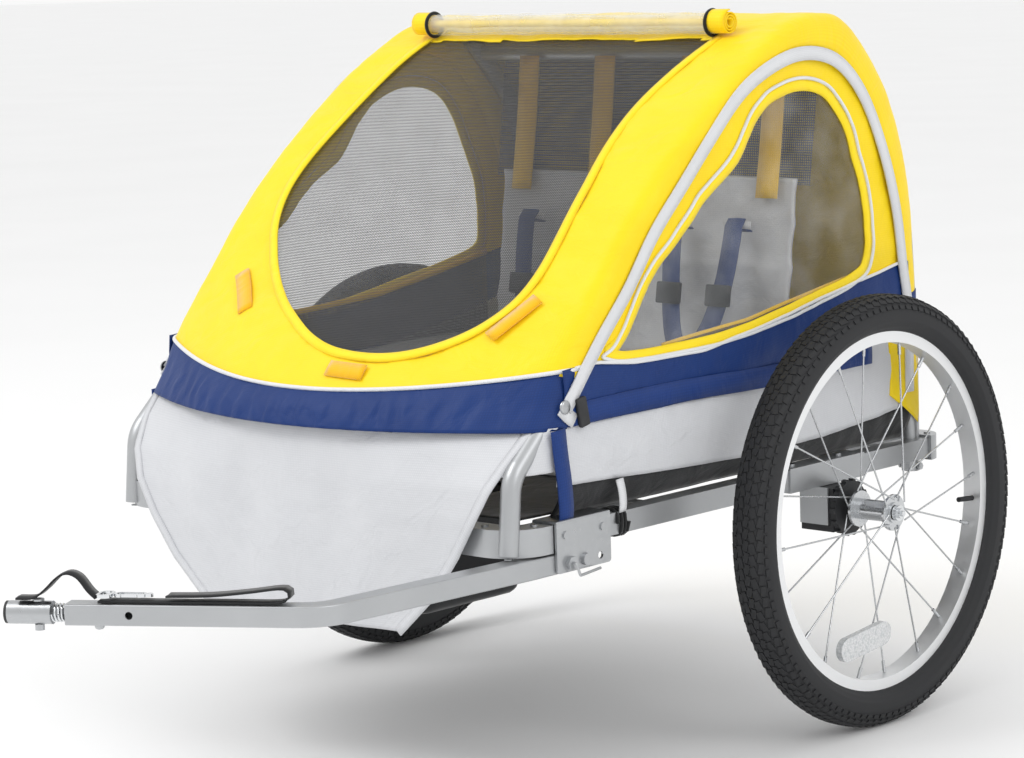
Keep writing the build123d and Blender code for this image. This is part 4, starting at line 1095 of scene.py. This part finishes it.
# ------------------------------------------------------------------ seat
# A hammock of light grey polyester, lightly padded and quilted, slung from the top cross bar by four
# yellow webbings. The shoulder webbing comes through bound slots near its top.
SEAT_HALF = 233.0
padded_grey = coated_cloth("quilted_grey_polyester", "D3D4D7", "BBBDC1", 0.55)
# the seat's section, top of the back to the front of the base, as (ahead, height)
SEAT_LINE = smooth_line(
    [
        (-60, 624, 0), (-52, 560, 0), (-44, 500, 0), (-36, 440, 0), (-24, 385, 0), (-2, 356, 0),
        (40, 350, 0), (140, 349, 0), (240, 351, 0), (274, 346, 0), (281, 328, 0), (281, 309, 0),
    ],
    120,
)
QUILT_LINES = (0.0, 0.18, 0.36, 0.5, 0.72, 0.92, 1.0)


def seat_point(lower, upper, front):
    """A function of (u, v) for one face of the seat between two shares of its section."""
    def at(u, v):
        t = (lower + (upper - lower) * v) * 120
        k = min(int(t), 119)
        here = SEAT_LINE[k].lerp(SEAT_LINE[k + 1], t - k)
        way = (SEAT_LINE[k + 1] - SEAT_LINE[k]).normalized()
        out = Vector((-way.y, way.x)) * -1
        across = (u * 2 - 1) * SEAT_HALF
        near = min(abs(t / 120 - q) for q in QUILT_LINES)
        puff = 6.5 * min(near / 0.05, 1.0) ** 0.5 * (1 - (u * 2 - 1) ** 8)
        middle = 1 - 0.7 * math.exp(-(across / 9.0) ** 2)
        give = (
            puff * middle + 2.2 * ripple(Vector((across, t * 5, 0)) * 0.001, 0.06, 8.0)
        ) * (1 if front else -0.5)
        draw = 1 - 0.012 * math.sin(math.pi * min(near / 0.09, 1.0))
        return spot(across * draw, here.x - out.x * -give, here.y - out.y * -give)
    return at


for name, lower, upper, node, cells, flat in (
    ("seat_back_pad", 0.0, 0.455, "seat_back", (96, 64), (0.466, 0.28)),
    ("seat_base_pad", 0.455, 1.0, "seat_base", (96, 72), (0.466, 0.34)),
):
    pad_shape = bmesh.new()
    bmesh.ops.create_grid(pad_shape, x_segments=cells[0], y_segments=cells[1], size=0.5)
    pad = lay_cloth(
        name,
        pad_shape,
        lambda co: (co.x + 0.5, co.y + 0.5),
        seat_point(lower, upper, True),
        flat,
        padded_grey,
        "chassis",
        0.005,
    )
    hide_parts(node)

# ------------------------------------------------------------------ harness and hanging straps
# Two five-point harnesses in navy webbing with black acetal buckles and adjusters, and four
# yellow webbings that carry the seat back from the cross bar.
yellow_web = coated_cloth("woven_yellow_webbing", "F4C81E", "D9A90E", 0.6, rib_mm=3.0)
for across in (-196.0, -70.0, 70.0, 196.0):
    line = [
        spot(across, p.x, p.y)
        for p in smooth_line([(-50, 600, 0), (-57, 640, 0), (-66, 700, 0), (-74, 768, 0)], 12)
    ]
    strap = ribbon(
        f"hanging_strap_{across + 200:.0f}",
        line,
        [Vector((0, -1, 0))] * 13,
        0.032,
        0.0016,
        yellow_web,
        "chassis",
        0.002,
    )


def block_piece(name, middle, size, tilt, finish, body, round_by):
    """A moulded part: a block with rounded edges, turned back about the cross axis."""
    shape = bmesh.new()
    place = Matrix.Translation(middle) @ Matrix.Rotation(
        math.radians(tilt), 4, "X"
    ) @ Matrix.Diagonal((*size, 1))
    bmesh.ops.create_cube(shape, size=1.0, matrix=place)
    bmesh.ops.bevel(
        shape, geom=shape.edges[:], offset=round_by, segments=3, profile=0.5, affect="EDGES", material=-1
    )
    return finished(name, shape, finish, body)


first_web = None
for seat_word, seat_x in (("left", 120.0), ("right", -120.0)):
    for strap_word, strap_x in (("outer", 45.0), ("inner", -45.0)):
        x = seat_x + strap_x * (1 if seat_x > 0 else -1)
        line = [spot(*p) for p in smooth_line(
            [(x, -46, 566), (x, -32, 570), (x, -25, 548), (x + (seat_x - x) * 0.1, -14, 500),
             (x + (seat_x - x) * 0.35, 0, 450), (x + (seat_x - x) * 0.72, 12, 418)], 26)]
        web = ribbon(
            f"{seat_word}_{strap_word}_shoulder_web",
            line,
            [Vector((0, -1, 0.15))] * 27,
            0.026,
            0.0017,
            navy_web,
            "chassis",
            0.006,
        )
        if first_web is None:
            first_web = web
        slide = block_piece(
            f"{seat_word}_{strap_word}_adjuster",
            spot(x + (seat_x - x) * 0.16, 0, 487),
            (0.036, 0.007, 0.026),
            -10,
            moulded_nylon,
            "chassis",
            0.0022,
        )
        slot_line = [spot(x - 20, -42, 569), spot(x, -42, 570), spot(x + 20, -42, 569)]
        slot_edge = ribbon(
            f"{seat_word}_{strap_word}_slot_binding",
            slot_line,
            [Vector((0, -1, 0))] * 3,
            0.009,
            0.002,
            padded_grey,
            "chassis",
            0.011,
        )
    for side in (1, -1):
        belt = [
            spot(*p)
            for p in smooth_line(
                [
                    (seat_x + side * 22, 16, 392), (seat_x + side * 60, 10, 378),
                    (seat_x + side * 92, -8, 366),
                ],
                10,
            )
        ]
        waist = ribbon(
            f"{seat_word}_waist_web_{'out' if side > 0 else 'in'}",
            belt,
            [Vector((0, -0.7, 0.7))] * 11,
            0.026,
            0.0017,
            navy_web,
            "chassis",
            0.003,
        )
    crotch = [
        spot(*p)
        for p in smooth_line(
            [(seat_x, 22, 372), (seat_x, 40, 362), (seat_x, 70, 357), (seat_x, 100, 354)], 10
        )
    ]
    crotch_web = ribbon(
        f"{seat_word}_crotch_web", crotch, [Vector((0, -0.4, 0.9))] * 11, 0.030, 0.0017, navy_web,
        "chassis", 0.002,
    )
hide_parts("harness_webbing")

# ------------------------------------------------------------------ rear screen and side pockets
# Black net closes the cabin behind the seat, and a navy net pocket bound in yellow is sewn to the
# inside of each side panel.
rear_net = open_mesh("black_rear_net", "111214", 3.0, 0.30)


def rear_screen_point(u, v):
    across, high = (u * 2 - 1) * 250.0, 616.0 + (762.0 - 616.0) * v
    return spot(across, -64 - 20 * v + 2.0 * ripple(Vector((across, high, 0)) * 0.001, 0.09), high)


rear_screen = cloth_piece("rear_screen", rear_screen_point, (0.50, 0.15), (60, 20), rear_net, "chassis", 0)
pocket_net = open_mesh("navy_pocket_net", "2B3040", 3.0, 0.42)
for side, side_word in ((1, "left"), (-1, "right")):
    def pocket_point(u, v):
        ahead = -92 + 370 * u
        low, high = 412.0, level_at([(-92, 512), (118, 478), (278, 468)], ahead)
        gape = 6.0 * math.sin(math.pi * u) * v
        return spot(
            side * (302.0 - gape + 1.5 * ripple(Vector((ahead, v * 80, 0)) * 0.001, 0.05)),
            ahead,
            low + (high - low) * v,
        )

    pocket = cloth_piece(
        f"{side_word}_pocket", pocket_point, (0.37, 0.075), (60, 14), pocket_net, "chassis", 0
    )
    top_edge = [pocket_point(k / 24, 1.0) for k in range(25)]
    pocket_edge = ribbon(
        f"{side_word}_pocket_binding", top_edge, [Vector((-side, 0, 0))] * 25, 0.007, 0.002, yellow_web,
        "chassis", 0.001,
    )

# ------------------------------------------------------------------ rolled rain cover
# The clear PVC rain cover, with yellow sewn ends, rolled up over the opening and held by two loops
# of black elastic.
ROLL_AHEAD, ROLL_HIGH = 76.0, 813.5
elastic = coated_cloth("woven_black_elastic", "17181A", "101113", 0.7, rib_mm=2.0, coords="Object")


def rolled(name, left, right, turns, inner, outer, finish, thick, waves):
    """A sheet rolled into a spiral about a line across the trailer."""
    def at(u, v):
        turn = (0.15 + turns * v) * 2 * math.pi
        radius = inner + (outer - inner) * v + waves * ripple(
            Vector((left + (right - left) * u, v * 50, 0)) * 0.001, 0.05
        )
        return spot(
            left + (right - left) * u,
            ROLL_AHEAD + radius * math.cos(turn),
            ROLL_HIGH + radius * math.sin(turn),
        )
    around = math.pi * (inner + outer) * turns * 0.001
    return cloth_piece(
        name,
        at,
        ((right - left) * 0.001, around),
        (max(int((right - left) / 6), 4), 60),
        finish,
        "chassis",
        thick,
    )


# the rolled copy paints the streaks stronger and less clear, partly for the roll's many layers and partly as
# painted reflection
rolled_film = clear.copy()
rolled_film.name = "clear_pvc_film_rolled"
rolled_film.node_tree.nodes[painted_glint_alpha.name].inputs["To Min"].default_value = 0.22
rolled_film.node_tree.nodes[painted_glint_alpha.name].inputs["To Max"].default_value = 0.5
film_roll = rolled("rain_cover_film", -226, 226, 1.7, 9.0, 14.0, rolled_film, 0, 1.4)
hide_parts("rain_cover_roll")
core_roll = rolled("rain_cover_edge", -236, 236, 1.2, 2.6, 4.4, yellow, 0.0014, 1.0)
for end_word, end_low, end_high in (("left", 220, 246), ("right", -246, -220)):
    roll_end = rolled(f"{end_word}_roll_end", end_low, end_high, 3.1, 4.0, 14.0, yellow, 0.0016, 0.2)
    loop_x = (end_low if end_low > 0 else end_high)
    loop_line = [spot(loop_x, ROLL_AHEAD + 14.6 * math.cos(a), ROLL_HIGH + 14.6 * math.sin(a) - 0.6)
                 for a in (2 * math.pi * k / 24 for k in range(24))]
    loop = piping(f"{end_word}_roll_loop", loop_line, 0.0022, elastic, "chassis", closed=True)

# ------------------------------------------------------------------ small sewn and riveted details
# Three hook-and-loop patches round the opening for the rain cover, snaps at the feet of the side
# bands, a buckle on each side webbing, an eyelet in each shoulder, and a grey gusset that closes
# each front corner behind the arch tube.
hook_pile = coated_cloth("yellow_hook_and_loop", "F7BE0C", "E5A806", 0.85, rib_mm=2.2, sheen=0.5)
PATCH_WIDE, PATCH_THICK = 0.019, 0.0016
for patch_word, start, end in (
    ("right", (-222, 536), (-166, 500)),
    ("middle", (36, 455), (88, 453)),
    ("left", (214, 492), (244, 530)),
):
    way = Vector(end) - Vector(start)
    patch_line = [front_point(start[0] + way.x * k / 8, start[1] + way.y * k / 8, 3.2) for k in range(9)]
    patch_out = [(front_point(start[0], start[1], 10.0) - front_point(*start)).normalized()] * 9
    patch = ribbon(
        f"{patch_word}_hook_patch", patch_line, patch_out, PATCH_WIDE, PATCH_THICK, hook_pile, "chassis"
    )


def disc_piece(name, middle, out, radius, thick, finish, body, hole=0.0):
    """A turned or pressed disc with rounded rim, facing out; a hole makes it an eyelet."""
    shape = bmesh.new()
    half = [(hole, thick * 0.7), (radius * 0.8, thick), (radius, thick * 0.55), (radius, 0.0)]
    row = [shape.verts.new((r, 0, z)) for r, z in half]
    edges = [shape.edges.new(pair) for pair in zip(row, row[1:])]
    bmesh.ops.spin(
        shape, geom=row + edges, cent=(0, 0, 0), axis=(0, 0, 1), angle=2 * math.pi, steps=32,
        use_merge=True,
    )
    bmesh.ops.remove_doubles(shape, verts=shape.verts, dist=1e-6)
    bmesh.ops.recalc_face_normals(shape, faces=shape.faces)
    place = Matrix.Translation(middle) @ out.to_track_quat("Z", "Y").to_matrix().to_4x4()
    bmesh.ops.transform(shape, matrix=place, verts=shape.verts)
    return finished(name, shape, finish, body)


SNAP_R, EYELET_R, EYELET_HOLE = 0.0075, 0.0065, 0.0025
BUCKLE = (0.006, 0.015, 0.032)
for side, side_word in ((1, "left"), (-1, "right")):
    outward = Vector((side, 0, 0))
    snap_at = spot(side * (HALF_OUT + 3.0), 458, 425)
    snap = disc_piece(f"{side_word}_band_snap", snap_at, outward, SNAP_R, 0.003, zinc, "chassis")
    foot_line = [
        spot(side * (HALF_OUT + 1.8), ahead, high) for ahead, high in ((462, 424), (452, 415), (442, 408))
    ]
    foot = ribbon(f"{side_word}_band_foot", foot_line, [outward] * 3, 0.016, 0.002, band_tape, "chassis")
    buckle_at = spot(side * (HALF_OUT + 5.0), 432, 417)
    buckle = block_piece(f"{side_word}_strap_buckle", buckle_at, BUCKLE, 12, moulded_nylon, "chassis", 0.002)
    shoulder_out = Vector((side * 0.55, 0, 0.83))
    eyelet = disc_piece(
        f"{side_word}_eyelet", spot(side * 296.0, 6, 813.5), shoulder_out, EYELET_R, 0.0022, zinc,
        "chassis", hole=EYELET_HOLE,
    )

    def gusset_point(u, v):
        high = 358.0 + 46.0 * v
        front = Vector((skirt_reading(high, 1) - 6, skirt_reading(high, 2) + 2))
        back = Vector((311.0, 462.0 + 4 * (1 - v)))
        round_by = Vector((312.0, front.y - 4))
        flat = front.lerp(round_by, u).lerp(round_by.lerp(back, u), u)
        return spot(side * (flat.x + 1.5 * ripple(Vector((u, v, side)), 0.5)), flat.y, high)

    gusset = cloth_piece(
        f"{side_word}_corner_gusset", gusset_point, (0.085, 0.046), (24, 12), grey, "chassis"
    )

# the navy band goes on across the back, 42 mm high; it leaves the lower edge of the back clear
# where the band starts, as a share of the cover's run from front to back, and its share of the run
BACK_BAND_TOP, BACK_BAND_SHARE = 0.886, 0.034


def rear_band_point(u, v):
    return cover_point(u, BACK_BAND_TOP + BACK_BAND_SHARE * (1 - v)) + Vector((0, 0.0026, 0))


rear_band = cloth_piece("rear_navy_band", rear_band_point, (0.664, 0.042), (100, 8), navy, "chassis")
tab_line = [
    spot(*p)
    for p in smooth_line([(314.5, 372, 336), (317, 371, 322), (317, 370, 309), (315, 369, 300)], 8)
]
tab = ribbon("rail_elastic_tab", tab_line, [Vector((1, 0, 0))] * 9, 0.011, 0.0018, band_tape, "chassis")

# ------------------------------------------------------------------ elastic round the left rail
# The tether's black elastic, wound three times round the rail behind the tow bracket.
ELASTIC_OUT = 0.0146
RAIL_ACROSS, ELASTIC_AHEAD, ELASTIC_RUN, RAIL_HIGH = 301.7, 378.0, 18.0, 288.0
TURN_STEPS = 3 * 8
wound = []
for k in range(TURN_STEPS + 1):
    turn = 2 * math.pi * k / 8
    square = 1.0 / max(abs(math.cos(turn)), abs(math.sin(turn))) ** 0.72
    middle = spot(RAIL_ACROSS, ELASTIC_AHEAD - ELASTIC_RUN * k / TURN_STEPS, RAIL_HIGH)
    wound.append(middle + Vector((math.cos(turn), 0, math.sin(turn))) * ELASTIC_OUT * square)
bungee = piping("rail_elastic", wound, 0.0022, elastic, "chassis")
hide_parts("rail_bungee")

# ------------------------------------------------------------------ hitch spring and safety strap
# The flexible coupling is a short coil spring between the arm and the hitch tube. A black nylon
# webbing is riveted to the hitch tube, arches back over it to a steel ring and snap hook, and runs
# on along the arm in a flat loop.
ARM_END = spot(63.5, 932.3, 260.2)
ARM_WAY = (ARM_END - spot(288.3, 797.0, 260.2)).normalized()
ARM_ACROSS = Vector((-ARM_WAY.y, ARM_WAY.x, 0))
UP = Vector((0, 0, 1))


def on_arm(back, high):
    """A place over the arm's slanted run: mm back from its end, and mm above the ground."""
    at = ARM_END - ARM_WAY * (back * 0.001)
    return Vector((at.x, at.y, high * 0.001))


for half_word, low, high, body_a, body_b in (("rear", 0.6, 8.0, "tow_arm", "hitch_joint"),
                                             ("front", 8.0, 15.4, "hitch_joint", "hitch")):
    coil_line = []
    for k in range(2 * 12 + 1):
        turn = 2 * math.pi * k / 12 + (0 if half_word == "rear" else 2 * math.pi * 2)
        at = ARM_END + ARM_WAY * ((low + (high - low) * k / 24) * 0.001)
        coil_line.append(at + (ARM_ACROSS * math.cos(turn) + UP * math.sin(turn)) * 0.0088)
    wire = piping(f"spring_wire_{half_word}", coil_line, 0.0013, chrome, None)
    bpy.context.view_layer.update()
    coil_mesh = bpy.data.meshes.new_from_object(wire.evaluated_get(bpy.context.evaluated_depsgraph_get()))
    bpy.data.objects.remove(wire)
    coil = bpy.data.objects.new(f"hitch_spring_{half_word}", coil_mesh)
    bpy.context.scene.collection.objects.link(coil)
    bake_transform(coil)
    if half_word == "rear":
        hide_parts("hitch_spring")
black_web = coated_cloth("woven_black_webbing", "1E1F21", "121315", 0.65, rib_mm=3.0)
TOP_OF_ARM = 271.4
WEB_WIDE, WEB_THICK = 0.019, 0.002
# the flat loop's line, as (mm back from the arm's end, mm over the arm)
LONG_LOOP = [
    (34, 1.4), (60, 1.8), (110, 1.3), (170, 1.6), (215, 1.6), (228, 4.5), (232, 11), (224, 16.5),
    (190, 12.5), (150, 8.6), (105, 7.6),
]
long_line = smooth_line([on_arm(back, TOP_OF_ARM + over) for back, over in LONG_LOOP], 60)


def strap_out(line):
    """The outer face of a webbing that is bent only in the arm's upright plane."""
    ways = [(b - a).normalized() for a, b in zip(line, line[1:])]
    return [ARM_ACROSS.cross(way) for way in [*ways, ways[-1]]]


long_strap = ribbon(
    "safety_webbing", long_line, strap_out(long_line), WEB_WIDE, WEB_THICK, black_web, "tow_arm"
)
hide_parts("safety_strap")
# the arched part's line, as (mm back from the arm's end, height)
ARCHED = [(-52, 275.4), (-34, 276.2), (-22, 284), (-8, 297), (3, 301.5), (14, 297), (24, 284), (32, 276.5)]
arched_line = smooth_line([on_arm(back, high) for back, high in ARCHED], 40)
arched_out = strap_out(arched_line)
MIDDLE_STEP = 23
front_line, front_out = arched_line[:MIDDLE_STEP + 1], arched_out[:MIDDLE_STEP + 1]
hitch_half = ribbon("safety_webbing_hitch", front_line, front_out, WEB_WIDE, WEB_THICK, black_web, None)
back_line, back_out = arched_line[MIDDLE_STEP:], arched_out[MIDDLE_STEP:]
arm_half = ribbon("safety_webbing_arm", back_line, back_out, WEB_WIDE, WEB_THICK, black_web, None)
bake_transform(hitch_half)
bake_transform(arm_half)
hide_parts("safety_strap_front")
